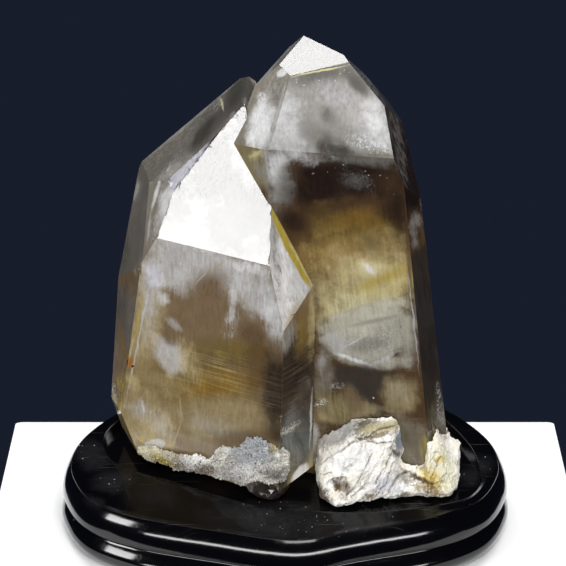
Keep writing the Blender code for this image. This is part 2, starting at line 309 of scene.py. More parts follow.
def add(tree, kind, inputs=None, **settings):
    """A node with its settings, and its inputs set to values or linked to sockets."""
    new = tree.nodes.new(kind)
    for key, value in settings.items():
        setattr(new, key, value)
    for key, value in (inputs or {}).items():
        if isinstance(value, bpy.types.NodeSocket):
            tree.links.new(value, new.inputs[key])
        else:
            new.inputs[key].default_value = value
    return new


def feed(shader, **sockets):
    """Links to a shader's inputs."""
    for key, socket in sockets.items():
        shader.id_data.links.new(socket, shader.inputs[key.replace("_", " ")])


def new_group(name, vectors, numbers, output, kind="Float"):
    """A node group, the sockets with what goes into it, and the socket for its one result."""
    group = bpy.data.node_groups.new(name, "ShaderNodeTree")
    for label in vectors:
        group.interface.new_socket(label, in_out="INPUT", socket_type="NodeSocketVector")
    for label in numbers:
        group.interface.new_socket(label, in_out="INPUT", socket_type="NodeSocketFloat")
    group.interface.new_socket(output, in_out="OUTPUT", socket_type="NodeSocket" + kind)
    return group, group.nodes.new("NodeGroupInput").outputs, group.nodes.new("NodeGroupOutput").inputs[0]


def use(tree, group, **inputs):
    """The result of a group placed in a material with its own values."""
    return add(tree, "ShaderNodeGroup", inputs, node_tree=group).outputs[0]


def math_node(tree, operation, first, second=0.0, third=0.0):
    return add(tree, "ShaderNodeMath", {0: first, 1: second, 2: third}, operation=operation).outputs[0]


def times(tree, first, second):
    return math_node(tree, "MULTIPLY", first, second)


def vector_math(tree, operation, first, second=(0, 0, 0)):
    """A step with vectors, whose result is a number for a product or a length."""
    node = add(tree, "ShaderNodeVectorMath", {0: first, 1: second}, operation=operation)
    return node.outputs["Value" if operation in ("DOT_PRODUCT", "LENGTH") else "Vector"]


def ramp_to(tree, value, low, high, least=0.0, most=1.0, kind="SMOOTHSTEP"):
    """A value that goes from least, where another is low, to most, where that one is high."""
    inputs = {"Value": value, "From Min": low, "From Max": high, "To Min": least, "To Max": most}
    return add(tree, "ShaderNodeMapRange", inputs, interpolation_type=kind).outputs["Result"]


def blend_color(tree, share, first, second, kind="MIX"):
    return add(tree, "ShaderNodeMix", {0: share, 6: first, 7: second}, data_type="RGBA",
               blend_type=kind).outputs[2]


def noise_value(tree, point, size, detail=4.0, roughness=0.55, **inputs):
    return add(tree, "ShaderNodeTexNoise", {"Vector": point, "Scale": 1 / size, "Detail": detail,
                                            "Roughness": roughness, **inputs}).outputs["Fac"]


def stretched(tree, point, scale, rotation=(0, 0, 0)):
    """A point turned and scaled, so that what is drawn with it stretches."""
    return add(tree, "ShaderNodeMapping", {"Vector": point, "Rotation": rotation, "Scale": scale}).outputs[0]


def bump_from(tree, height, strength, distance):
    return add(tree, "ShaderNodeBump", {"Height": height, "Strength": strength,
                                        "Distance": distance}).outputs["Normal"]


def own_point(tree):
    return add(tree, "ShaderNodeTexCoord").outputs["Object"]


def own_way(tree, kind="True Normal"):
    return add(tree, "ShaderNodeNewGeometry").outputs[kind]


# A soft spot inside three radii, with a torn edge, on faces that look one way
soft_patch, given, result = new_group("Soft patch", ("Point", "Place", "Along", "Across", "Out", "Facing"),
                                      ("Edge", "Torn", "Spread"), "Mask")
away = vector_math(soft_patch, "SUBTRACT", given["Point"], given["Place"])
shares = [vector_math(soft_patch, "DOT_PRODUCT", away, given[way]) for way in ("Along", "Across", "Out")]
local = add(soft_patch, "ShaderNodeCombineXYZ", dict(enumerate(shares))).outputs[0]
reach = vector_math(soft_patch, "LENGTH", local)
reach = math_node(soft_patch, "MULTIPLY_ADD", given["Torn"], given["Edge"], reach)
inner = math_node(soft_patch, "SUBTRACT", 1.0, given["Edge"])
outer = math_node(soft_patch, "ADD", 1.0, given["Edge"])
near = ramp_to(soft_patch, reach, outer, inner)
turned = vector_math(soft_patch, "DOT_PRODUCT", own_way(soft_patch), given["Facing"])
turned = math_node(soft_patch, "SUBTRACT", 1.0, turned)
same_face = math_node(soft_patch, "LESS_THAN", turned, given["Spread"])
soft_patch.links.new(times(soft_patch, near, same_face), result)

# Points moved about at random, which makes what is drawn with them ragged
drift, given, result = new_group("Drift", ("Point",), ("Size", "Amount"), "Point", "Vector")
scale = math_node(drift, "DIVIDE", 1.0, given["Size"])
cloudy = add(drift, "ShaderNodeTexNoise", {"Vector": given["Point"], "Scale": scale, "Detail": 4.0,
                                           "Roughness": 0.6}).outputs["Color"]
swing = vector_math(drift, "SUBTRACT", cloudy, (0.5, 0.5, 0.5))
swing = add(drift, "ShaderNodeVectorMath", {0: swing, "Scale": given["Amount"]}, operation="SCALE").outputs[0]
drift.links.new(vector_math(drift, "ADD", given["Point"], swing), result)

# Round specks in a share of evenly spaced places, their radii in spacings
dust, given, result = new_group("Dust", ("Point",),
                                ("Spacing", "Share", "Least", "Growth", "Rarity", "Blur"), "Mask")
scale = math_node(dust, "DIVIDE", 1.0, given["Spacing"])
cells = add(dust, "ShaderNodeTexVoronoi", {"Vector": given["Point"], "Scale": scale}).outputs
pick = add(dust, "ShaderNodeSeparateColor", {0: cells["Color"]}).outputs
chosen = math_node(dust, "LESS_THAN", pick[0], given["Share"])
radius = math_node(dust, "POWER", pick[1], given["Rarity"])
radius = math_node(dust, "MULTIPLY_ADD", radius, given["Growth"], given["Least"])
speck = ramp_to(dust, math_node(dust, "SUBTRACT", cells["Distance"], radius), given["Blur"], 0.0)
dust.links.new(times(dust, speck, chosen), result)

PICTURE = 566  # the picture's width and height, in which places seen on the object are given
FOCAL = CAMERA_LENS / SENSOR * PICTURE
ANY_FACE = 3.0  # spread of a patch on faces that look any way


def sight(x, y):
    """Direction from the camera through a point of the picture."""
    right = Vector((1, 0, 0))
    up = right.cross(view_line)
    return (view_line + right * (x - PICTURE / 2) / FOCAL + up * (PICTURE / 2 - y) / FOCAL).normalized()


def tree_of(node_name):
    return BVHTree.FromObject(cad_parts[node_name], bpy.context.evaluated_depsgraph_get())


def patch_at(solid, x0, y0, x1, y1, half_width):
    """Place, axes over their radii, and facing of a patch between two places in the picture."""
    middle = Vector(((x0 + x1) / 2, (y0 + y1) / 2))
    centre, normal, _, _ = solid.ray_cast(camera_place, sight(*middle))

    def on_face(x, y):
        way = sight(x, y)
        return camera_place + way * ((centre - camera_place).dot(normal) / way.dot(normal))

    run = Vector((x1 - x0, y1 - y0))
    half_run = max(run.length / 2, half_width)
    run.normalize()
    tip = on_face(middle.x + run.x * half_run, middle.y + run.y * half_run) - centre
    side = on_face(middle.x - run.y * half_width, middle.y + run.x * half_width) - centre
    along = tip.normalized()
    return {"Place": centre, "Along": along / tip.length, "Across": normal.cross(along) / side.length,
            "Out": normal / (4 * MM + side.length), "Facing": normal}


def patch_mask(tree, point, solid, place, edge, torn=0.0, spread=ANY_FACE):
    """Mask of a soft patch at a place of the solid, given as patch_at takes it."""
    return use(tree, soft_patch, Point=point, Edge=edge, Torn=torn, Spread=spread, **patch_at(solid, *place))


LACQUER = (0.0011, 0.0011, 0.0015, 1)
# Dust grey, which is also the colour of the painted highlights at the left corner and at the rim on the left
DUST = (0.30, 0.30, 0.33, 1)
THIN_DUST = 0.03  # outside the dusty spots
DUST_EDGE = 0.7
SCRATCH_WAYS = ((24, 0.5), (-38, 0.7), (75, 1.0))  # degrees that scratches are turned, and how wavy they are
SCRATCH_LENGTH = 30 * MM
SCRATCH_WIDTH = 0.35 * MM
# Where dust lies thick. At the left corner and at the rim on the left, its specks are partly painted
# highlights
DUST_AND_HIGHLIGHT_SPOTS = {  # from x, y, to x, y and half width in the picture
    "along the front": (230, 515, 350, 528, 14),
    "under the foot": (250, 505, 312, 508, 6),
    "left corner, dust and painted highlights": (82, 440, 100, 468, 12),
    "left of the stone": (96, 478, 128, 484, 10),
    "rim at the left, dust and painted highlights": (84, 498, 100, 506, 6),
    "right of the rock": (465, 470, 486, 480, 12),
}
stand_tree = tree_of("stand")
material, tree, shader = new_material("black_lacquer", Specular_IOR_Level=0.1, Coat_IOR=1.5,
                                      Coat_Roughness=0.09)
point = own_point(tree)
upward = add(tree, "ShaderNodeSeparateXYZ", {0: own_way(tree, "Normal")}).outputs["Z"]
level = ramp_to(tree, upward, 0.3, 0.95)
loose = use(tree, drift, Point=point, Size=5 * MM, Amount=6 * MM)
dust_and_highlight = THIN_DUST
for place in DUST_AND_HIGHLIGHT_SPOTS.values():
    dust_and_highlight = math_node(tree, "MAXIMUM", patch_mask(tree, loose, stand_tree, place, DUST_EDGE), dust_and_highlight)
shaken = use(tree, drift, Point=point, Size=1 * MM, Amount=0.7 * MM)
specks = use(tree, dust, Point=shaken, Spacing=0.9 * MM, Share=times(tree, dust_and_highlight, 0.4), Least=0.03,
             Growth=0.26, Rarity=6.0, Blur=0.06)
marks = times(tree, specks, level)
for turn, wave in SCRATCH_WAYS:
    scale = (1 / SCRATCH_LENGTH, 1 / SCRATCH_WIDTH, 1 / SCRATCH_LENGTH)
    strip = stretched(tree, point, scale, (0, 0, math.radians(turn)))
    streak = noise_value(tree, strip, 1, 1.0, 0.5, Distortion=wave)
    streak = times(tree, ramp_to(tree, streak, 0.74, 0.82), level)
    marks = math_node(tree, "MAXIMUM", marks, times(tree, streak, 0.25))
haze = times(tree, times(tree, level, dust_and_highlight), noise_value(tree, point, 2 * MM, 6.0, 0.75))
# Dust specks, scratches and dust haze; at the left corner and rim the specks are painted highlights
dirt = math_node(tree, "ADD", marks, times(tree, haze, 0.06))
smear = noise_value(tree, point, 7 * MM, 5.0, 0.65)
gloss = ramp_to(tree, smear, 0.3, 0.75, 0.06, 0.17, "LINEAR")
polish = ramp_to(tree, level, 0.0, 1.0, 1.0, 0.25, "LINEAR")
ripple = noise_value(tree, stretched(tree, point, (1, 1, 0.4)), 0.7 * MM, 3.0, 0.6)
peel = math_node(tree, "ADD", ripple, noise_value(tree, point, 3 * MM, 2.0))
feed(shader, Base_Color=blend_color(tree, dirt, LACQUER, DUST),
     Roughness=math_node(tree, "MULTIPLY_ADD", marks, 0.4, gloss),
     Coat_Weight=times(tree, polish, math_node(tree, "SUBTRACT", 1.0, marks)),
     Normal=bump_from(tree, math_node(tree, "ADD", peel, marks), 0.6, 0.07 * MM))
stand.data.materials.append(material)
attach(stand, "root")
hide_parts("stand")

# QUARTZ. Two prisms of smoky rock crystal grown through each other, with steep rhombohedral points.
# The growth faces are flat and glossy with fine level lines, the sharp edges nicked by handling.
# Brown smoke lies inside in level zones, and with it milky clouds and golden iron stains. The tones painted
# on each face are partly painted light and shade, for how much each face reflects and refracts.
CRYSTALS = {"left": (-1.5, -4.0), "right": (-7.5, -3.0)}  # degrees that the long axis leans right and back
TREAD = (0.7 * MM, 3.2 * MM)  # least and greatest width between two growth lines
WIDE_TREADS = 0.7  # share of the growth lines that have that width between them
NARROW = 0.4  # share of that width between the others
RISER = 0.16 * MM  # width of a growth line
LINE_DEPTH = 0.025 * MM
GRID = 1.9 * MM  # widest strip of the mesh
WELD = 0.002 * MM
FLAT = math.radians(0.3)
CREASE = math.radians(6)
EDGE_WIDTH = 0.28 * MM
SIDE_FACE = 0.35  # how far a prism's side face may look along the axis
NICK_LENGTH = 0.7 * MM
MOST_CUTS = 3
NICK_SIZE = 1.3 * MM
NICK_DEPTH = 0.04 * MM
CHIP_SIZE = 5 * MM
CHIP_DEPTH = 0.45 * MM
CHIP_RARITY = 0.52
CHIP_RISE = 0.3


def long_axis(lean_right, lean_back):
    """Direction that leans right and back by these degrees."""
    return Vector((math.tan(math.radians(lean_right)), math.tan(math.radians(lean_back)), 1)).normalized()


def convex_groups(bm):
    """Faces that meet over edges that don't fold inwards, largest group first."""
    left = set(bm.faces)
    groups = []
    while left:
        front = [left.pop()]
        group = []
        while front:
            face = front.pop()
            group.append(face)
            for edge in face.edges:
                if edge.calc_face_angle_signed(0) < -CREASE:
                    continue
                for other in edge.link_faces:
                    if other in left:
                        left.discard(other)
                        front.append(other)
        groups.append(group)
    return sorted(groups, key=lambda group: -sum(face.calc_area() for face in group))


def cut_at(bm, slot, way, levels):
    """Flat cuts square to way through the faces of one slot."""
    for level in levels:
        near = []
        for face in bm.faces:
            if face.material_index == slot:
                reach = [vert.co.dot(way) for vert in face.verts]
                if min(reach) < level < max(reach):
                    near.append(face)
        if near:
            edges = {edge for face in near for edge in face.edges}
            corners = {vert for face in near for vert in face.verts}
            bmesh.ops.bisect_plane(bm, geom=[*corners, *edges, *near], dist=1e-7,
                                   plane_co=way * level, plane_no=way)


def reach_of(bm, slot, way):
    """Least and greatest place along way of the faces of one slot."""
    reach = [vert.co.dot(way) for face in bm.faces if face.material_index == slot for vert in face.verts]
    return min(reach), max(reach)


dice = random.Random(7)
bm = bmesh.new()
bm.from_mesh(quartz_node.data)
bmesh.ops.remove_doubles(bm, verts=bm.verts, dist=WELD)
bmesh.ops.dissolve_limit(bm, angle_limit=FLAT, verts=bm.verts, edges=bm.edges)
for rank, group in enumerate(convex_groups(bm)):  # the two crystals, then pieces of the root
    area = sum(face.calc_area() for face in group)
    middle = sum((face.calc_center_median() * face.calc_area() for face in group), Vector()) / area
    for face in group:
        face.material_index = 2 if rank > 1 else int(middle.x > 0)
on_edge = bm.faces.layers.int.new("on_edge")
sharp = [edge for edge in bm.edges if edge.calc_face_angle_signed(0) > CREASE
         and all(face.material_index < 2 for face in edge.link_faces)]
rounded = bmesh.ops.bevel(bm, geom=sharp, offset=EDGE_WIDTH, segments=2, profile=0.6, affect="EDGES",
                          clamp_overlap=True)
for face in rounded["faces"]:
    face[on_edge] = 1
axes = [long_axis(*lean) for lean in CRYSTALS.values()]
line_levels = []
for slot, axis in enumerate(axes):
    across = axis.orthogonal().normalized()
    level, high = reach_of(bm, slot, axis)
    levels = []
    while level < high:
        level += dice.uniform(*TREAD) if dice.random() < WIDE_TREADS else dice.uniform(*TREAD) * NARROW
        levels.append(level)
    line_levels.append(levels)
    cut_at(bm, slot, axis, [step for level in levels for step in (level, level + RISER)])
    for way in (across, axis.cross(across)):
        low, high = reach_of(bm, slot, way)
        cut_at(bm, slot, way, [low + GRID * step for step in range(1, int((high - low) / GRID) + 1)])
long_edges = [edge for edge in bm.edges if any(face[on_edge] for face in edge.link_faces)
              and edge.calc_length() > 1.3 * NICK_LENGTH]
for cuts in range(1, MOST_CUTS + 1):
    these = [edge for edge in long_edges if edge.is_valid
             and min(MOST_CUTS, int(edge.calc_length() / NICK_LENGTH)) == cuts]
    bmesh.ops.subdivide_edges(bm, edges=these, cuts=cuts)
bmesh.ops.triangulate(bm, faces=[face for face in bm.faces if len(face.verts) > 4])
bm.normal_update()
moves = {}
for vert in bm.verts:  # nicks and chips along the edges, and a step in at each growth line
    slots = {face.material_index for face in vert.link_faces}
    if len(slots) > 1 or 2 in slots:
        continue
    slot = slots.pop()
    if any(face[on_edge] for face in vert.link_faces):
        chip = min(1, max(0, rough(vert.co + Vector((3, 1, 2)), CHIP_SIZE) - CHIP_RARITY) / CHIP_RISE)
        nick = 0.5 + 0.5 * rough(vert.co, NICK_SIZE)
        moves[vert] = NICK_DEPTH * nick + CHIP_DEPTH * chip * (0.6 + rough(vert.co, 2 * MM))
    elif abs(vert.normal.dot(axes[slot])) < SIDE_FACE:
        height = vert.co.dot(axes[slot])
        band = sum(1 for level in line_levels[slot] if level + RISER * 0.5 < height)
        moves[vert] = LINE_DEPTH * (0.5 + 0.5 * noise.noise(Vector((band * 3.7, slot, 0.5))))
for vert, depth in moves.items():
    vert.co -= vert.normal * depth
quartz = piece_from(bm, "quartz_crystals_fine")

BODY = 0.84  # how bright the quartz shows under the lamps, in shares of its base colour
TONES = {  # as seen under the lamps, in display steps of 0 to 255
    "white": (226, 226, 226), "milk": (200, 200, 200), "pearl": (180, 179, 177),
    "lavender": (200, 200, 210), "lilac": (164, 160, 156), "grey": (150, 148, 143),
    "haze": (130, 124, 112), "fog": (108, 105, 100), "slate": (86, 84, 80), "coal": (58, 54, 50),
    "night": (38, 30, 28), "brown": (116, 99, 77), "umber": (80, 62, 44), "bronze": (108, 92, 52),
    "gold": (126, 105, 64), "amber": (126, 98, 44), "olive": (86, 78, 50), "moss": (60, 58, 48),
    "drab": (144, 131, 99), "sand": (168, 155, 118), "straw": (186, 174, 128),
    "cream": (214, 206, 168), "yellow": (166, 147, 62), "lemon": (228, 220, 165),
    "rust": (150, 90, 32), "soot": (46, 24, 14), "steel": (74, 80, 80), "ash": (164, 161, 146),
    "sulphur": (222, 194, 84), "snow": (250, 250, 248), "blue grey": (150, 158, 168),
    "bone": (186, 182, 164), "honey": (150, 127, 80), "ivory": (255, 250, 220),
}
# Zones that run round each crystal: height on the long axis in mm, and the tone there
ZONES = {
    "left": ((24, "drab"), (44, "sand"), (56, "gold"), (70, "bronze"), (80, "brown"), (92, "brown"),
             (104, "grey"), (116, "fog"), (130, "slate"), (150, "slate")),
    "right": ((20, "olive"), (40, "haze"), (52, "moss"), (72, "moss"), (84, "grey"), (100, "gold"),
              (114, "umber"), (126, "night"), (144, "night"), (156, "pearl"), (166, "milk"), (176, "fog")),
}
ROOT_ZONES = ((20, "night"), (26, "coal"), (30, "night"), (34, "coal"))
# Marks on the faces that show in front: from x, y, to x, y and half width in the picture, softness of
# the edge, tone, strength, and inner pattern, which is cloud where none is named. The plain marks that
# cover a whole face give each face a tone that is partly painted light and shade, since the faces differ
# by what they reflect and refract.
LEFT_MARKS = {
    "upper left face": (130, 200, 226, 96, 70, 0.1, "fog", 0.95, "plain"),
    "its clear top": (196, 118, 240, 84, 14, 0.6, "slate", 0.7),
    "brown peak": (228, 96, 246, 82, 8, 0.6, "moss", 0.6),
    "grey sweep": (172, 152, 214, 112, 7, 0.7, "fog", 0.9, "wisps"),
    "second sweep": (152, 160, 196, 122, 5, 0.7, "haze", 0.6, "wisps"),
    "pale sheen": (156, 190, 188, 160, 8, 0.6, "lilac", 0.8, "veil"),
    "sheen's sparkle": (166, 172, 172, 166, 3, 0.6, "milk", 0.8, "frost"),
    "dark smoke": (188, 150, 238, 98, 5, 0.6, "coal", 0.6, "veil"),
    "dark blot": (194, 142, 212, 124, 6, 0.7, "coal", 0.8),
    "bright crack": (220, 97, 224, 111, 0.8, 0.5, "cream", 0.75),
    "crack's glow": (214, 108, 222, 98, 3, 0.7, "grey", 0.7, "wisps"),
    "outer rim": (143, 161, 236, 82, 1.6, 0.6, "grey", 0.7),
    "narrow bevel": (242, 108, 166, 186, 40, 0.1, "coal", 0.95, "plain"),
    # Painted sheen: the lavender white band on the narrow bevel
    "bevel's lower half, painted sheen": (205, 144, 160, 190, 14, 0.4, "lavender", 1.0),
    "side bevel": (150, 185, 154, 262, 40, 0.1, "haze", 0.95, "plain"),
    "bevel's light": (174, 180, 160, 226, 7, 0.6, "white", 0.9),
    "bevel's line": (160, 180, 151, 212, 1.8, 0.5, "white", 0.9),
    "bevel's second line": (151, 208, 147, 246, 1.4, 0.5, "pearl", 0.9),
    "bevel's frost": (158, 212, 152, 244, 5, 0.5, "pearl", 0.9, "frost"),
    "left shoulder": (130, 170, 130, 275, 50, 0.1, "fog", 0.95, "plain"),
    "shoulder's light": (140, 168, 132, 206, 6, 0.7, "haze", 0.8, "wisps"),
    "shoulder's green": (136, 184, 136, 196, 3, 0.7, "pearl", 0.8),
    "shoulder's shade": (124, 236, 122, 272, 5, 0.7, "moss", 0.7, "wisps"),
    "left side": (124, 290, 118, 400, 50, 0.1, "fog", 0.95, "plain"),
    "side's shade": (124, 290, 119, 330, 6, 0.7, "moss", 0.6, "wisps"),
    "side's light": (134, 282, 128, 330, 3, 0.7, "haze", 0.7, "wisps"),
    "side's gold": (122, 340, 116, 392, 6, 0.8, "brown", 0.7),
    "side's iron": (117, 318, 127, 362, 1.2, 0.6, "amber", 0.8),
    "side's yellow": (119, 372, 120, 412, 2, 0.5, "yellow", 0.8, "wisps"),
    "side's flake": (112, 384, 116, 412, 3, 0.4, "white", 0.95, "frost"),
    "front wash": (150, 250, 250, 440, 130, 0.1, "brown", 0.95, "plain"),
    "left column": (152, 250, 138, 380, 15, 0.6, "sand", 0.75),
    "milk under the mirror": (146, 254, 240, 266, 26, 0.5, "pearl", 0.95),
    "milk's fringe": (160, 276, 194, 290, 9, 0.8, "pearl", 0.75, "veil"),
    "milk's left": (150, 246, 146, 330, 8, 0.8, "pearl", 0.75),
    "milk's light": (152, 262, 156, 288, 7, 0.8, "lavender", 0.8),
    "clear window": (194, 298, 220, 274, 13, 0.6, "brown", 1.0),
    "clear middle": (180, 310, 226, 318, 20, 0.6, "brown", 0.9),
    "window's heart": (206, 284, 216, 296, 9, 0.6, "umber", 0.5, "wisps"),
    "bright vein": (226, 261, 210, 270, 0.8, 0.5, "sand", 0.7),
    "vein's foot": (208, 270, 196, 284, 0.8, 0.6, "pearl", 0.5),
    "mirror's chips": (190, 246, 214, 254, 3, 0.5, "white", 0.9, "frost"),
    "white veil": (238, 262, 254, 312, 12, 0.6, "pearl", 0.85),
    "veil's bright side": (240, 264, 231, 308, 5, 0.7, "milk", 0.7, "veil"),
    "veil's top": (234, 263, 268, 271, 5, 0.8, "white", 0.8, "veil"),
    "veil's right": (258, 274, 278, 326, 11, 0.6, "pearl", 0.9),
    "grey slit": (272, 262, 278, 292, 4, 0.6, "fog", 0.9, "wisps"),
    "slit's sparkle": (270, 264, 284, 282, 6, 0.4, "white", 0.8, "flecks"),
    "cloud's tail": (266, 298, 281, 342, 9, 0.8, "milk", 0.65, "veil"),
    "feather": (236, 306, 228, 344, 5, 0.8, "lilac", 0.8, "wisps"),
    "feather's top": (233, 308, 230, 322, 3, 0.8, "pearl", 0.7, "wisps"),
    "dotted line": (234, 312, 230, 352, 1.0, 0.5, "cream", 0.6, "frost"),
    "puff": (158, 299, 168, 297, 4.5, 0.8, "milk", 0.8),
    "second puff": (169, 320, 180, 329, 4, 0.8, "pearl", 0.7),
    "smoke under the veil": (244, 324, 260, 350, 11, 0.6, "umber", 0.7, "veil"),
    "golden streak": (142, 298, 137, 332, 2.4, 0.6, "yellow", 0.85, "wisps"),
    "gold band": (118, 384, 262, 380, 24, 0.55, "bronze", 0.9),
    "band's shade": (196, 356, 262, 360, 9, 0.8, "umber", 0.5),
    "brown over the gold": (196, 346, 262, 352, 10, 0.6, "bronze", 0.9, "veil"),
    "deep gold": (186, 390, 258, 380, 11, 0.8, "amber", 0.8),
    "amber heart": (190, 388, 212, 392, 6, 0.8, "amber", 0.8),
    "pale gold": (136, 372, 178, 388, 9, 0.8, "drab", 0.7),
    "oval": (160, 342, 181, 371, 12, 0.45, "pearl", 0.9),
    "oval's haze": (184, 344, 192, 384, 8, 0.9, "sand", 0.6, "veil"),
    "oval's light": (160, 342, 176, 360, 6, 0.8, "pearl", 0.7),
    "yellow by the oval": (182, 352, 186, 368, 3, 0.6, "straw", 0.9, "frost"),
    "growth lines": (160, 366, 268, 398, 22, 0.5, "sand", 0.45, "lines"),
    "second growth lines": (190, 352, 266, 370, 10, 0.6, "drab", 0.3, "lines"),
    "dark patch": (276, 352, 276, 444, 15, 0.4, "night", 0.9),
    "dark patch's lines": (258, 386, 284, 402, 16, 0.5, "haze", 0.45, "lines"),
    "dark patch's left": (256, 344, 254, 400, 9, 0.9, "umber", 0.7),
    "lower front": (170, 422, 262, 418, 21, 0.5, "drab", 0.95),
    "lower veil": (186, 418, 240, 436, 8, 0.8, "grey", 0.45, "veil"),
    "lower shade": (214, 442, 270, 434, 7, 0.8, "umber", 0.6),
    "pale foot": (128, 392, 162, 448, 26, 0.4, "drab", 0.95),
    "pale foot's heart": (136, 424, 170, 434, 13, 0.7, "sand", 0.85),
    "pale foot's lilac": (134, 404, 146, 416, 8, 0.8, "lilac", 0.75),
    "lilac's foot": (150, 414, 166, 432, 8, 0.9, "pearl", 0.5, "veil"),
    "pale foot's green": (150, 438, 172, 444, 5, 0.8, "drab", 0.6),
    "arc": (180, 398, 182, 420, 0.8, 0.5, "sand", 0.7),
    "arc's foot": (182, 420, 174, 444, 0.8, 0.5, "sand", 0.7),
    "arc's shade": (186, 400, 188, 438, 4, 0.6, "bronze", 0.6, "wisps"),
    "foot's streak": (141, 398, 144, 412, 1.2, 0.7, "milk", 0.6),
    "flake": (142, 452, 164, 441, 7, 0.15, "pearl", 1.0),
    "yellow by the flake": (136, 442, 154, 434, 3, 0.6, "yellow", 0.8, "wisps"),
    "iron edge": (150, 456, 176, 461, 3, 0.5, "yellow", 0.95, "frost"),
    "iron ray": (134, 336, 128, 362, 1.2, 0.7, "straw", 0.8),
    "iron root": (123, 360, 134, 362, 5, 0.8, "rust", 0.8),
    "iron edge line": (126, 366, 122, 408, 2.5, 0.6, "yellow", 0.7, "wisps"),
    "edge line": (150, 285, 128, 390, 0.9, 0.6, "lavender", 0.6),
    "root's glow": (129, 374, 136, 390, 5, 0.8, "sand", 0.8),
    "iron specks": (127, 361, 128, 364, 1.4, 0.4, "soot", 1.0, "plain"),
    "iron speck": (132, 365, 133, 367, 1.3, 0.4, "soot", 1.0, "plain"),
    "milky point": (275, 240, 292, 320, 70, 0.1, "pearl", 0.95, "plain"),
    "point's cloud": (281, 242, 288, 324, 13, 0.6, "white", 0.85, "veil"),
    "point's right": (296, 268, 300, 300, 8, 0.7, "milk", 0.9, "veil"),
    "point's shade": (273, 222, 279, 290, 3.5, 0.6, "fog", 0.9, "wisps"),
    "point's foot": (300, 302, 287, 328, 4, 0.6, "sand", 0.8, "veil"),
    # Painted edge highlight, yellow: the bright line along the milky point's edge, and its lighter core
    "yellow edge": (270, 206, 311, 288, 5, 0.2, "yellow", 1.0, "plain"),
    "yellow edge's light": (287, 238, 312, 286, 1.2, 0.5, "straw", 0.8),
    "right side wash": (300, 330, 290, 450, 60, 0.1, "coal", 0.95, "plain"),
    "right side's smoke": (296, 352, 292, 398, 14, 0.6, "night", 0.8, "veil"),
    "right side's bronze": (312, 296, 304, 352, 11, 0.6, "gold", 0.95),
    "right side's gold": (314, 292, 312, 346, 4, 0.8, "straw", 0.9),
    "right side's haze": (288, 324, 284, 350, 7, 0.7, "grey", 0.9, "veil"),
    "right side's lines": (278, 402, 314, 376, 20, 0.5, "haze", 0.5, "lines"),
    "glassy foot": (292, 416, 300, 470, 20, 0.3, "steel", 0.95),
    "foot's grey": (284, 440, 300, 470, 8, 0.6, "fog", 0.7, "wisps"),
    "foot's sparkle": (281, 434, 303, 421, 3, 0.5, "milk", 0.7, "frost"),
    "sparkle's streak": (284, 433, 302, 422, 1, 0.6, "pearl", 0.6, "veil"),
    "edge sheen": (312, 392, 310, 444, 1.0, 0.5, "milk", 0.9),
    "seam's shade": (304, 366, 302, 430, 7, 0.8, "night", 0.7, "veil"),
    "pale chip": (291, 484, 309, 466, 6, 0.2, "white", 0.95, "all round"),
    "dark root": (244, 484, 292, 486, 13, 0.3, "coal", 0.95, "all round"),
    "root's rim": (254, 492, 276, 494, 2, 0.5, "pearl", 0.8, "all round"),
}
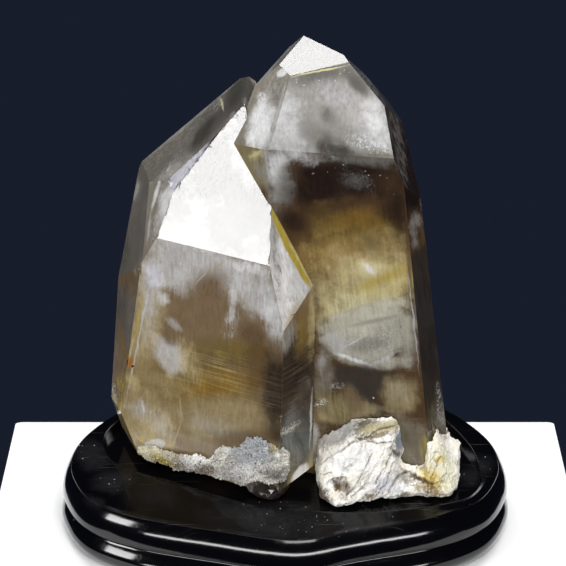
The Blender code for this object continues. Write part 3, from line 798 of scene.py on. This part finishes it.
RIGHT_MARKS = {
    "left face": (262, 85, 255, 150, 70, 0.1, "haze", 0.95, "plain"),
    "left face's rim": (254, 90, 238, 142, 7, 0.6, "drab", 0.95),
    "left face's cloud": (266, 98, 256, 150, 12, 0.5, "snow", 1.0),
    "left face's heart": (264, 106, 255, 146, 9, 0.7, "snow", 1.0),
    "cap": (278, 74, 346, 46, 40, 0.1, "slate", 0.95, "plain"),
    "left face's top": (282, 74, 268, 100, 8, 0.6, "grey", 0.9, "wisps"),
    # Painted reflection: white where the cap's mirrored lamp shows over the corner of the left face
    "cap's corner, painted reflection": (277, 74, 287, 72, 3.5, 0.3, "white", 0.9),
    "left face's sparkle": (264, 92, 260, 104, 4, 0.5, "white", 0.9, "frost"),
    "left face's edge": (286, 82, 270, 146, 1.6, 0.5, "pearl", 0.8),
    "narrow face": (240, 152, 268, 185, 60, 0.1, "drab", 0.95, "plain"),
    "narrow face's light": (256, 160, 264, 178, 5, 0.6, "grey", 0.8, "wisps"),
    "narrow face's foot": (260, 186, 270, 204, 6, 0.6, "umber", 0.9),
    "stain": (250, 157, 262, 151, 2, 0.4, "lemon", 0.9),
    "stain's glow": (246, 158, 264, 152, 3.5, 0.8, "straw", 0.6, "smoke"),
    "head": (290, 80, 370, 150, 90, 0.1, "grey", 0.95, "plain"),
    "head's clear top": (288, 80, 352, 66, 10, 0.8, "slate", 0.8),
    "head's clear corner": (346, 68, 382, 104, 6, 0.7, "slate", 0.8),
    "head's milk": (304, 106, 384, 104, 18, 0.7, "lilac", 0.95),
    "head's left": (284, 96, 278, 150, 17, 0.8, "milk", 0.95),
    "head's blue": (320, 88, 350, 104, 9, 0.9, "lavender", 0.35, "veil"),
    "bright cloud": (368, 101, 382, 148, 16, 0.7, "pearl", 0.95),
    "bright heart": (372, 104, 382, 142, 9, 0.9, "white", 0.9),
    "corner's shade": (350, 78, 368, 95, 5, 0.7, "slate", 0.85),
    "bright foot": (356, 152, 392, 158, 6, 0.9, "haze", 0.9, "smoke"),
    "dark wisp": (322, 108, 334, 124, 6, 0.8, "fog", 0.9, "veil"),
    "lower wisp": (322, 137, 328, 160, 9, 0.8, "night", 0.95, "smoke"),
    "wisp's core": (318, 144, 330, 152, 6, 0.8, "night", 0.8, "veil"),
    "right wisp": (340, 142, 348, 160, 6, 0.8, "coal", 0.85, "smoke"),
    "head's shade": (306, 128, 340, 150, 10, 0.8, "fog", 0.6, "veil"),
    "head's flecks": (290, 82, 350, 74, 7, 0.4, "white", 0.8, "flecks"),
    "head's dots": (346, 140, 390, 150, 7, 0.4, "white", 0.7, "frost"),
    "cap's yellow edge": (290, 77, 347, 65.5, 0.9, 0.5, "lemon", 0.8),
    "front wash": (300, 180, 380, 440, 150, 0.1, "umber", 0.95, "plain"),
    "dark band": (282, 187, 406, 183, 28, 0.45, "night", 1.0),
    "head's ragged foot": (326, 156, 360, 158, 8, 0.8, "coal", 0.85, "smoke"),
    "cloud's foot": (344, 158, 394, 162, 5, 0.9, "fog", 0.9, "smoke"),
    "upper haze": (268, 149, 314, 155, 8, 0.8, "pearl", 0.95, "smoke"),
    "grey slope": (277, 146, 276, 204, 12, 0.7, "grey", 0.95, "smoke"),
    "slope's light": (277, 148, 275, 180, 9, 0.9, "milk", 0.9, "smoke"),
    "slope's foot": (288, 168, 284, 206, 8, 0.8, "slate", 0.7, "veil"),
    "grey puff": (342, 174, 370, 186, 8, 0.7, "fog", 0.8, "frost"),
    "puff's haze": (346, 178, 364, 184, 6, 0.9, "slate", 0.8),
    "brown tint": (374, 178, 398, 190, 9, 0.7, "umber", 0.45, "veil"),
    "specks": (300, 162, 402, 190, 12, 0.3, "pearl", 0.6, "flecks"),
    "gold": (306, 254, 408, 248, 38, 0.5, "bronze", 1.0),
    "lower gold": (306, 266, 408, 266, 27, 0.7, "honey", 1.0),
    "brown arch": (326, 210, 396, 208, 12, 0.8, "umber", 0.8),
    "arch's amber": (330, 222, 384, 218, 9, 0.9, "amber", 0.6),
    "dark lobe": (282, 212, 306, 232, 11, 0.7, "night", 0.9),
    "right lobe": (396, 194, 404, 240, 8, 0.8, "night", 0.8),
    "arch's smoke": (382, 205, 396, 222, 8, 0.9, "night", 0.75, "veil"),
    "bronze side": (304, 248, 316, 332, 10, 0.7, "gold", 0.9),
    "golden fibres": (311, 284, 315, 326, 6, 0.8, "straw", 0.8),
    "straw field": (318, 300, 404, 258, 24, 0.9, "sand", 0.85),
    "olive blots": (366, 234, 376, 254, 6, 0.9, "olive", 0.7, "veil"),
    "amber corner": (378, 264, 404, 286, 11, 0.9, "yellow", 0.5),
    "straw heart": (340, 278, 394, 266, 12, 0.9, "straw", 0.8),
    "heart's light": (356, 271, 384, 268, 7, 0.9, "cream", 0.6),
    "bright spot": (366, 266, 374, 274, 2.2, 0.8, "white", 0.9),
    "pale sweep": (320, 314, 406, 282, 17, 0.7, "straw", 1.0),
    "yellow sweep": (356, 290, 404, 270, 5, 0.9, "yellow", 0.7),
    "pale sweep's foot": (326, 330, 392, 304, 8, 0.8, "ash", 0.8, "veil"),
    "sweep's heart": (336, 308, 360, 296, 8, 0.9, "cream", 0.65, "veil"),
    "pale corner": (392, 287, 404, 282, 5, 0.9, "straw", 0.7, "veil"),
    "lens": (324, 344, 414, 322, 26, 0.12, "ash", 1.0),
    "lens's grain": (330, 344, 408, 324, 24, 0.3, "milk", 0.45, "frost"),
    "lens's milk": (334, 330, 394, 308, 12, 0.8, "bone", 1.0),
    "lens's top": (332, 318, 404, 300, 3, 0.8, "bone", 0.6, "veil"),
    "lens's fold": (350, 326, 398, 316, 2, 0.8, "fog", 0.5, "veil"),
    "lens's left": (330, 334, 346, 352, 7, 0.7, "pearl", 0.85),
    "lens's right": (402, 314, 408, 364, 9, 0.5, "ash", 0.85),
    "lens's foot": (340, 358, 404, 364, 8, 0.3, "ash", 0.95),
    "lens's foot grain": (340, 358, 396, 362, 6, 0.5, "pearl", 0.7, "frost"),
    "lens's hollow": (348, 349, 388, 340, 6, 0.7, "fog", 0.55),
    "hollow's line": (344, 347, 362, 338, 0.8, 0.6, "milk", 0.7),
    "lens's rim": (338, 354, 372, 366, 1.8, 0.6, "white", 0.85, "veil"),
    "lens's rim right": (372, 366, 396, 352, 1.8, 0.6, "pearl", 0.8, "veil"),
    "lens's crack": (399, 318, 404, 350, 1.4, 0.5, "umber", 0.8, "frost"),
    "under the lens": (326, 376, 398, 384, 15, 0.35, "coal", 0.9),
    "dark neck": (352, 384, 380, 420, 13, 0.5, "coal", 0.95, "veil"),
    "lavender strip": (325, 354, 323, 420, 8, 0.7, "haze", 0.85),
    "strip's light": (323, 356, 321, 374, 3.5, 0.9, "pearl", 0.4, "veil"),
    "foot's glow": (312, 417, 368, 409, 8, 0.8, "sand", 0.95),
    "foot's left": (314, 424, 315, 454, 4, 0.6, "pearl", 0.9, "all round"),
    "grey foot": (324, 392, 352, 420, 14, 0.5, "olive", 0.9),
    "foot's fog": (322, 398, 348, 412, 10, 0.8, "drab", 0.8, "veil"),
    "brown foot": (346, 388, 362, 414, 8, 0.6, "brown", 0.8),
    "beige patch": (400, 382, 400, 410, 17, 0.5, "drab", 0.95),
    "patch's light": (394, 386, 402, 400, 8, 0.9, "ash", 0.4, "veil"),
    "prism's end": (402, 420, 424, 466, 17, 0.4, "haze", 0.8),
    "end's green": (404, 424, 420, 448, 9, 0.8, "olive", 0.4),
    "end's yellow": (424, 440, 428, 468, 4, 0.8, "yellow", 0.6, "veil"),
    "sparkles": (328, 390, 342, 384, 4, 0.5, "pearl", 0.6, "frost"),
    "bright dot": (372.7, 397.2, 373.3, 397.8, 0.8, 0.5, "milk", 0.9, "plain"),
    "seam's sparkle": (314, 406, 326, 400, 3, 0.5, "white", 1.0, "frost"),
    "foot's level lines": (384, 408, 428, 424, 10, 0.6, "haze", 0.35, "lines"),
    "rusty seam": (317, 295, 317, 350, 1.0, 0.6, "amber", 0.5, "wisps"),
    "edge's shade": (407, 206, 411, 296, 2.5, 0.7, "umber", 0.8, "veil"),
    "reddish line": (403, 216, 407, 262, 0.8, 0.6, "brown", 0.5, "wisps"),
    "right side": (418, 250, 430, 400, 70, 0.1, "coal", 0.95, "plain"),
    "right side's smoke": (422, 240, 432, 420, 9, 0.6, "night", 0.65, "wisps"),
    "right side's fibres": (412, 300, 418, 360, 4, 0.5, "fog", 0.7, "wisps"),
    "right side's line": (409, 280, 418, 362, 0.8, 0.5, "pearl", 0.7),
    "right side's foot": (428, 400, 436, 460, 7, 0.7, "olive", 0.8, "wisps"),
    "right edge's flake": (437, 384, 443, 428, 2.5, 0.5, "milk", 0.9, "frost"),
    "upper right side": (395, 110, 415, 190, 60, 0.1, "night", 0.95, "plain"),
    "upper side's grey": (392, 112, 404, 178, 5, 0.7, "fog", 0.8, "wisps"),
    "right shoulder": (361, 76, 387, 104, 60, 0.1, "coal", 0.95, "plain"),
    "shoulder's sparkle": (354, 68, 382, 100, 5, 0.5, "milk", 0.9, "frost"),
}
# Marks kept to one face paint per-face tones, which are partly painted light and shade
ONE_FACE = 0.006  # spread of a mark that stays on its own face
SMOKE_COLOR = (0.75, 0.66, 0.50, 1)
SMOKE_DENSITY = 14.0  # per metre
SHADOW_COLOR = (0.55, 0.52, 0.46, 1)


def tone(name, body):
    """Base colour that shows as a tone on a material of this brightness under the lamps."""
    return tuple(min(0.96, (step / 255) ** 2.2 / body) for step in TONES[name]) + (1,)


def quartz_material(name, zones, marks, lean):
    """Quartz of one crystal, see-through in part, with zones along its axis and marks on its faces."""
    material, tree, shader = new_material(name, IOR=1.544, Transmission_Weight=0.4)
    point = own_point(tree)
    loose = use(tree, drift, Point=point, Size=10 * MM, Amount=6 * MM)
    ragged = use(tree, drift, Point=loose, Size=1.6 * MM, Amount=1.2 * MM)
    crisp = use(tree, drift, Point=point, Size=4 * MM, Amount=1.3 * MM)
    axis = long_axis(*lean)
    height = vector_math(tree, "DOT_PRODUCT", ragged, tuple(axis))
    swell = math_node(tree, "SUBTRACT", noise_value(tree, loose, 15 * MM, 3.0, 0.5), 0.5)
    height = math_node(tree, "MULTIPLY_ADD", swell, 30 * MM, height)
    low, high = zones[0][0] * MM, zones[-1][0] * MM
    ramp = add(tree, "ShaderNodeValToRGB", {"Fac": ramp_to(tree, height, low, high, kind="LINEAR")})
    stops = ramp.color_ramp.elements
    for rank, (place, label) in enumerate(zones):
        share = (place * MM - low) / (high - low)
        stop = stops[rank] if rank < 2 else stops.new(share)
        stop.position = share
        stop.color = tone(label, BODY)
    upright = axis.to_track_quat("Z", "Y").inverted().to_euler()

    def grained(source, across, up, detail, roughness):
        """Noise of lumps with a size across the axis and one along it."""
        turned = stretched(tree, source, (1, 1, 1), upright)
        sized = stretched(tree, turned, (1 / across, 1 / across, 1 / up))
        return noise_value(tree, sized, 1, detail, roughness)

    def torn(value, amount):
        """How far an edge is drawn in or out by a noise."""
        return times(tree, math_node(tree, "SUBTRACT", 0.5, value), amount)

    billow = noise_value(tree, loose, 6 * MM, 5.0, 0.6)
    fibre = grained(crisp, 1.0 * MM, 11 * MM, 4.0, 0.6)
    lines = grained(point, 22 * MM, 0.5 * MM, 3.0, 0.55)
    fine = noise_value(tree, ragged, 0.8 * MM, 4.0, 0.75)
    mixed = math_node(tree, "MULTIPLY_ADD", fibre, 0.55, times(tree, billow, 0.45))
    soft = ramp_to(tree, mixed, 0.28, 0.66)
    flecks = use(tree, dust, Point=ragged, Spacing=1.3 * MM, Share=0.28, Least=0.08, Growth=0.16, Rarity=1.0,
                 Blur=0.05)
    cloudy = ramp_to(tree, noise_value(tree, loose, 12 * MM, 6.0, 0.6), 0.50, 0.68)
    color = blend_color(tree, times(tree, cloudy, 0.7), ramp.outputs["Color"], tone("lilac", BODY))
    patterns = {  # how far the edge is torn, and the share of the mark that shows
        "cloud": (torn(billow, 2.4), math_node(tree, "MULTIPLY_ADD", soft, 0.25, 0.8)),
        "smoke": (torn(billow, 3.5), math_node(tree, "MULTIPLY_ADD", soft, 0.4, 0.7)),
        "veil": (torn(mixed, 3), math_node(tree, "MULTIPLY_ADD", soft, 0.7, 0.45)),
        "wisps": (torn(fibre, 4), ramp_to(tree, fibre, 0.32, 0.68)),
        "lines": (torn(billow, 4), ramp_to(tree, lines, 0.48, 0.72)),
        "frost": (torn(billow, 4), ramp_to(tree, fine, 0.47, 0.62)),
        "flecks": (0.0, flecks),
        "plain": (0.0, 1.0),
        "all round": (torn(billow, 4), 1.0),
    }

    def marked(color, x0, y0, x1, y1, half_width, edge, label, strength, pattern="cloud"):
        """The colour with one mark over it."""
        tear, share = patterns[pattern]
        spread = ANY_FACE if pattern in ("all round", "smoke") else ONE_FACE
        mask = patch_mask(tree, crisp, quartz_tree, (x0, y0, x1, y1, half_width), edge, tear, spread)
        mask = times(tree, mask, times(tree, share, strength))
        return blend_color(tree, mask, color, tone(label, BODY))

    for mark in marks.values():
        color = marked(color, *mark)
    grain = math_node(tree, "MULTIPLY_ADD", fibre, 0.45, times(tree, fine, 0.3))
    grain = math_node(tree, "MULTIPLY_ADD", billow, 0.25, grain)
    depth = ramp_to(tree, grain, 0.38, 0.62, 0.82, 1.18, "LINEAR")
    steep = math_node(tree, "ABSOLUTE", vector_math(tree, "DOT_PRODUCT", own_way(tree), tuple(axis)))
    growth = times(tree, lines, ramp_to(tree, steep, 0.36, 0.28))
    feed(shader, Base_Color=blend_color(tree, 1.0, color, depth, "MULTIPLY"),
         Roughness=ramp_to(tree, billow, 0.35, 0.7, 0.03, 0.09, "LINEAR"),
         Normal=bump_from(tree, growth, 0.5, 0.04 * MM))
    smoke = add(tree, "ShaderNodeVolumeAbsorption", {"Color": SMOKE_COLOR, "Density": SMOKE_DENSITY})
    shadow = add(tree, "ShaderNodeLightPath").outputs["Is Shadow Ray"]
    through = add(tree, "ShaderNodeBsdfTransparent", {"Color": SHADOW_COLOR}).outputs["BSDF"]
    either = add(tree, "ShaderNodeMixShader", {0: shadow, 1: shader.outputs["BSDF"], 2: through})
    feed(tree.nodes["Material Output"], Surface=either.outputs["Shader"], Volume=smoke.outputs["Volume"])
    return material


quartz_tree = tree_of("quartz_crystals")
for name, marks in {"left": LEFT_MARKS, "right": RIGHT_MARKS}.items():
    quartz.data.materials.append(quartz_material(name + "_quartz", ZONES[name], marks, CRYSTALS[name]))
quartz.data.materials.append(quartz_material("root_quartz", ROOT_ZONES, {}, CRYSTALS["left"]))
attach(quartz, "root")
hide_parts("quartz_crystals")

# HOST ROCK. Cream white feldspar that the right crystal grew on, broken along its layered cleavage.
# The layers run up to the right and stand out as ledges, with dark joints and rusty stains between.
ROCK_MESH = 0.5 * MM
LAYER_TILT = math.radians(58)
LAYER_LEAN = -0.35  # how far the layers turn to the front
LAYER = 3.4 * MM
LAYER_WANDER = ((12 * MM, 0.7), (3 * MM, 0.25))  # size and share of the layers' unevenness
LEDGE = 0.6 * MM
JOINT = 0.10  # share of a layer's thickness that its open joint takes
JOINT_DEPTH = 0.6 * MM
JOINT_LENGTH = 5 * MM
VEINS = (  # open cracks, by places in the picture
    ((348, 494), (356, 486), (364, 473), (373, 454)), ((376, 484), (386, 468), (392, 456)),
    ((374, 500), (388, 484), (394, 463)), ((386, 498), (399, 476), (409, 470), (416, 474)),
    ((414, 474), (424, 481), (434, 485), (446, 482)), ((316, 467), (329, 455), (346, 447), (353, 441)),
    ((356, 438), (366, 438), (380, 428), (398, 425)), ((366, 440), (378, 443), (392, 442)),
    ((332, 480), (345, 478), (347, 490)), ((334, 482), (341, 491)), ((316, 474), (331, 472)),
    ((425, 498), (431, 489)), ((392, 450), (401, 457), (410, 466)), ((352, 497), (364, 488)),
)
VEIN_STEPS = 24
VEIN_WIDTH = 0.6 * MM
VEIN_DEPTH = 0.9 * MM
VEIN_WANDER = 0.35 * MM
BLOCK = 3.2 * MM
BLOCK_DEPTH = 0.7 * MM
BLOCK_GAP = 0.16
BROKEN_SIZE = 2.2 * MM
BROKEN_DEPTH = 0.45 * MM
ROCK_BODY = 1.35  # the same of the rock and the crust, which more light reaches
CREAM = (0.74, 0.70, 0.61, 1)
CHALK = (0.86, 0.85, 0.82, 1)
UMBER = (0.055, 0.032, 0.018, 1)
OCHRE = (0.42, 0.32, 0.15, 1)
STONE_GREY = (0.30, 0.29, 0.27, 1)
ROCK_MARKS = {  # from x, y, to x, y and half width in the picture, softness, tone, strength
    "cream of the wedge": (438, 440, 450, 498, 16, 0.5, "ivory", 1.0),
    "crystal band": (314, 446, 366, 420, 9, 0.4, "lilac", 0.85),
    "band's light": (328, 434, 352, 424, 4, 0.7, "milk", 0.7),
    "white front": (328, 464, 368, 448, 10, 0.6, "snow", 0.85),
    "band's olive": (354, 428, 374, 418, 5, 0.5, "olive", 0.85),
    "slab": (362, 432, 402, 423, 6, 0.3, "straw", 0.85),
    "slab's foot": (352, 441, 398, 431, 2, 0.6, "bronze", 0.8),
    "blue patch": (398, 434, 404, 448, 6, 0.3, "blue grey", 1.0),
    "patch's shade": (394, 452, 404, 458, 4, 0.5, "fog", 0.9),
    "brown stain": (332, 480, 350, 492, 6, 0.5, "brown", 0.8),
    "olive stain": (333, 487, 341, 489, 3, 0.4, "bronze", 0.9),
    "left foot stain": (314, 486, 322, 500, 4, 0.5, "umber", 0.95),
    "foot stain": (364, 498, 376, 497, 3, 0.5, "bronze", 0.9),
    "second foot stain": (398, 496, 410, 496, 2.5, 0.5, "bronze", 0.8),
    "yellow stain": (422, 470, 440, 490, 9, 0.7, "sulphur", 0.9),
    "yellow foot": (424, 494, 444, 492, 4, 0.8, "amber", 0.8),
    "wedge's spot": (437, 461, 446, 458, 3, 0.6, "sulphur", 0.8),
    "red stain": (404, 470, 432, 486, 2, 0.6, "umber", 0.9),
    "brown seam": (396, 474, 414, 480, 5, 0.8, "haze", 0.8),
    "seam's sand": (416, 484, 428, 491, 4, 0.8, "sand", 0.85),
    "stain's heart": (424, 481, 436, 488, 3.5, 0.7, "amber", 0.9),
    "lilac shade": (372, 488, 400, 484, 9, 0.7, "lavender", 0.7),
}


def remeshed(node_name, name, voxel):
    """An evenly meshed copy of a solid, and its open mesh."""
    piece = bpy.data.objects.new(name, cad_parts[node_name].data.copy())
    bpy.context.scene.collection.objects.link(piece)
    even = piece.modifiers.new("even", "REMESH")
    even.mode = "VOXEL"
    even.voxel_size = voxel
    piece.data = bpy.data.meshes.new_from_object(piece.evaluated_get(bpy.context.evaluated_depsgraph_get()))
    piece.modifiers.clear()
    piece.data.materials.clear()
    bm = bmesh.new()
    bm.from_mesh(piece.data)
    bm.normal_update()
    return piece, bm


rock, bm = remeshed("feldspar_matrix", "feldspar_rock", ROCK_MESH)
joint_layer = bm.verts.layers.float.new("joint")
across_layers = Vector((-math.sin(LAYER_TILT), LAYER_LEAN, math.cos(LAYER_TILT))).normalized()
rock_tree = tree_of("feldspar_matrix")
cracks = KDTree(sum(len(vein) - 1 for vein in VEINS) * VEIN_STEPS)
for vein in VEINS:
    for (x0, y0), (x1, y1) in zip(vein, vein[1:]):
        for step in range(VEIN_STEPS):
            share = step / VEIN_STEPS
            way = sight(x0 + (x1 - x0) * share, y0 + (y1 - y0) * share)
            place = rock_tree.ray_cast(camera_place, way)[0]
            wander = [rough(place + Vector(shift), 1.5 * MM) for shift in ((0, 0, 0), (2, 0, 0), (0, 2, 0))]
            cracks.insert(place + Vector(wander) * VEIN_WANDER, step)
cracks.balance()
for vert in bm.verts:  # sunk by its layer, by its block between splits, by cracks and by broken spots
    place = vert.co.dot(across_layers) / LAYER + lumpy(vert.co, LAYER_WANDER)
    number = math.floor(place)
    share = place - number
    sink = 0.5 + 0.5 * noise.noise(Vector((number * 5.3, 0.4, 1.7)) + vert.co / (16 * MM))
    broken = max(0, rough(vert.co + Vector((1, 1, 1)), BROKEN_SIZE))
    broken += 0.5 * abs(rough(vert.co, BROKEN_SIZE / 2))
    open_joint = max(0, min(1, 3 * rough(vert.co + Vector((4, 0, 0)), JOINT_LENGTH)))
    joint = max(0, 1 - min(share, 1 - share) / JOINT) * open_joint
    along = across_layers * vert.co.dot(across_layers)
    distances, seeds = noise.voronoi((vert.co + along * 1.2) / BLOCK)
    block = 0.5 + 0.5 * noise.noise(seeds[0] * 5)
    split = max(0, 1 - (distances[1] - distances[0]) / BLOCK_GAP) * open_joint
    gap = cracks.find(vert.co)[2] / (VEIN_WIDTH * (0.75 + 0.6 * rough(vert.co, 1.2 * MM)))
    vein = max(0, 1 - gap)
    vert[joint_layer] = max(0.55 * joint, vein, 0.5 * split)
    vert.co -= vert.normal * (BLOCK_DEPTH * block + JOINT_DEPTH * 0.6 * split
                              + LEDGE * sink * (0.3 + 0.7 * share) + JOINT_DEPTH * joint
                              + VEIN_DEPTH * vein + BROKEN_DEPTH * broken)
bm.to_mesh(rock.data)
bm.free()


def stained(tree, point, color, grit, solid, marks, share=1):
    """The colour with torn marks of other tones over it."""
    torn = math_node(tree, "MULTIPLY_ADD", grit, -6, 3)
    for *place, edge, label, strength in marks.values():
        mask = times(tree, patch_mask(tree, point, solid, place, edge, torn), strength * share)
        color = blend_color(tree, mask, color, tone(label, ROCK_BODY))
    return color


material, tree, shader = new_material("feldspar", Roughness=0.6)
point = own_point(tree)
ragged = use(tree, drift, Point=point, Size=2.2 * MM, Amount=2.4 * MM)
mottle = ramp_to(tree, noise_value(tree, point, 4 * MM, 6.0, 0.65), 0.35, 0.65)
grit = noise_value(tree, point, 1.1 * MM, 6.0, 0.75)
grey_grain = times(tree, ramp_to(tree, grit, 0.54, 0.70), 0.45)
rust = times(tree, ramp_to(tree, noise_value(tree, point, 7 * MM, 6.0, 0.7), 0.60, 0.72), 0.5)
joint = times(tree, add(tree, "ShaderNodeAttribute", attribute_name="joint").outputs["Fac"], 0.95)
color = blend_color(tree, mottle, CREAM, CHALK)
color = blend_color(tree, grey_grain, color, STONE_GREY)
color = stained(tree, ragged, color, grit, rock_tree, ROCK_MARKS)
color = blend_color(tree, rust, color, OCHRE)
grain = math_node(tree, "ADD", grit, noise_value(tree, point, 2.5 * MM, 4.0))
feed(shader, Base_Color=blend_color(tree, joint, color, UMBER), Normal=bump_from(tree, grain, 0.9, 0.35 * MM))
rock.data.materials.append(material)
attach(rock, "root")
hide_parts("feldspar_matrix")

# CRUST. Drusy quartz on the left crystal's foot, a skin of many small pointed crystals grown over
# rough stone, grey white and sparkling.
CRUST_MESH = 0.8 * MM
CRUST_SINK = 0.3 * MM
POINTS = 4200
POINT_RADIUS = (0.16 * MM, 0.42 * MM)
POINT_SIZES = (0.7, 1, 1, 1.3)
POINT_LEAN = 0.45
BEIGE = (0.25, 0.235, 0.19, 1)
PALE_BEIGE = (0.56, 0.54, 0.48, 1)
SPARKLE_WHITE = (0.82, 0.82, 0.82, 1)
DARK_DIRT = (0.05, 0.04, 0.025, 1)
CRUST_MARKS = {  # as on the host rock
    "blue patch": (228, 452, 272, 448, 16, 0.4, "blue grey", 0.95),
    "patch's grey": (232, 448, 262, 456, 8, 0.6, "pearl", 0.7),
    "brown dots": (268, 452, 278, 446, 4, 0.5, "brown", 0.8),
    "patch's beige": (270, 442, 280, 450, 5, 0.5, "straw", 0.8),
    "white grain": (222, 474, 262, 470, 7, 0.5, "white", 0.9),
    "lilac shade": (226, 482, 246, 486, 4, 0.6, "lilac", 0.8),
    "left rim": (130, 446, 178, 464, 9, 0.5, "cream", 0.7),
    "rim's shade": (152, 458, 184, 467, 4, 0.7, "umber", 0.8),
    "brown lobe": (178, 467, 216, 472, 6, 0.4, "umber", 0.95),
    "pale grain": (182, 453, 218, 458, 6, 0.5, "snow", 0.9),
    "iron edge": (150, 458, 172, 464, 4, 0.5, "yellow", 0.9),
    "dark foot": (262, 476, 292, 474, 7, 0.6, "slate", 0.9),
}
crust, bm = remeshed("druse_crust", "drusy_crust", CRUST_MESH)
for vert in bm.verts:
    vert.co -= vert.normal * CRUST_SINK * (1 + rough(vert.co, 1.7 * MM))
bm.normal_update()
faces = list(bm.faces)
dice = random.Random(11)
chosen = dice.choices(faces, weights=[face.calc_area() for face in faces], k=POINTS)
seats = [(face.calc_center_median(), face.normal.copy()) for face in chosen]
for seat, normal in seats:
    radius = dice.uniform(*POINT_RADIUS) * dice.choice(POINT_SIZES)
    lean = Vector((dice.gauss(0, 1), dice.gauss(0, 1), dice.gauss(0, 1))) * POINT_LEAN
    matrix = Matrix.Translation(seat) @ (normal + lean).to_track_quat("Z", "Y").to_matrix().to_4x4()
    spokes = [Vector((math.cos(turn), math.sin(turn), 0)) * radius
              for turn in (math.pi / 3 * k + lean.x * 3 for k in range(6))]
    low, high = [[bm.verts.new(matrix @ (spoke + Vector((0, 0, rise)))) for spoke in spokes]
                 for rise in (-radius, radius * 0.9)]
    tip = bm.verts.new(matrix @ Vector((radius * lean.y * 0.3, 0, radius * 2.0)))
    for k in range(6):
        after = (k + 1) % 6
        bm.faces.new((low[k], low[after], high[after], high[k]))
        bm.faces.new((high[k], high[after], tip))
    bm.faces.new(reversed(low))
bm.to_mesh(crust.data)
bm.free()
material, tree, shader = new_material("druse", Roughness=0.25, IOR=1.544)
point = own_point(tree)
ragged = use(tree, drift, Point=point, Size=2 * MM, Amount=2.4 * MM)
patches = ramp_to(tree, noise_value(tree, point, 3 * MM, 5.0), 0.36, 0.64)
grit = noise_value(tree, point, 0.8 * MM, 5.0, 0.75)
light_grain = times(tree, ramp_to(tree, grit, 0.50, 0.62), 0.75)
dirt = times(tree, ramp_to(tree, noise_value(tree, point, 1.4 * MM, 5.0, 0.7), 0.55, 0.66), 0.75)
color = blend_color(tree, patches, BEIGE, PALE_BEIGE)
color = blend_color(tree, light_grain, color, SPARKLE_WHITE)
color = stained(tree, ragged, color, grit, tree_of("druse_crust"), CRUST_MARKS, 0.85)
feed(shader, Base_Color=blend_color(tree, dirt, color, DARK_DIRT))
crust.data.materials.append(material)
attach(crust, "root")
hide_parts("druse_crust")
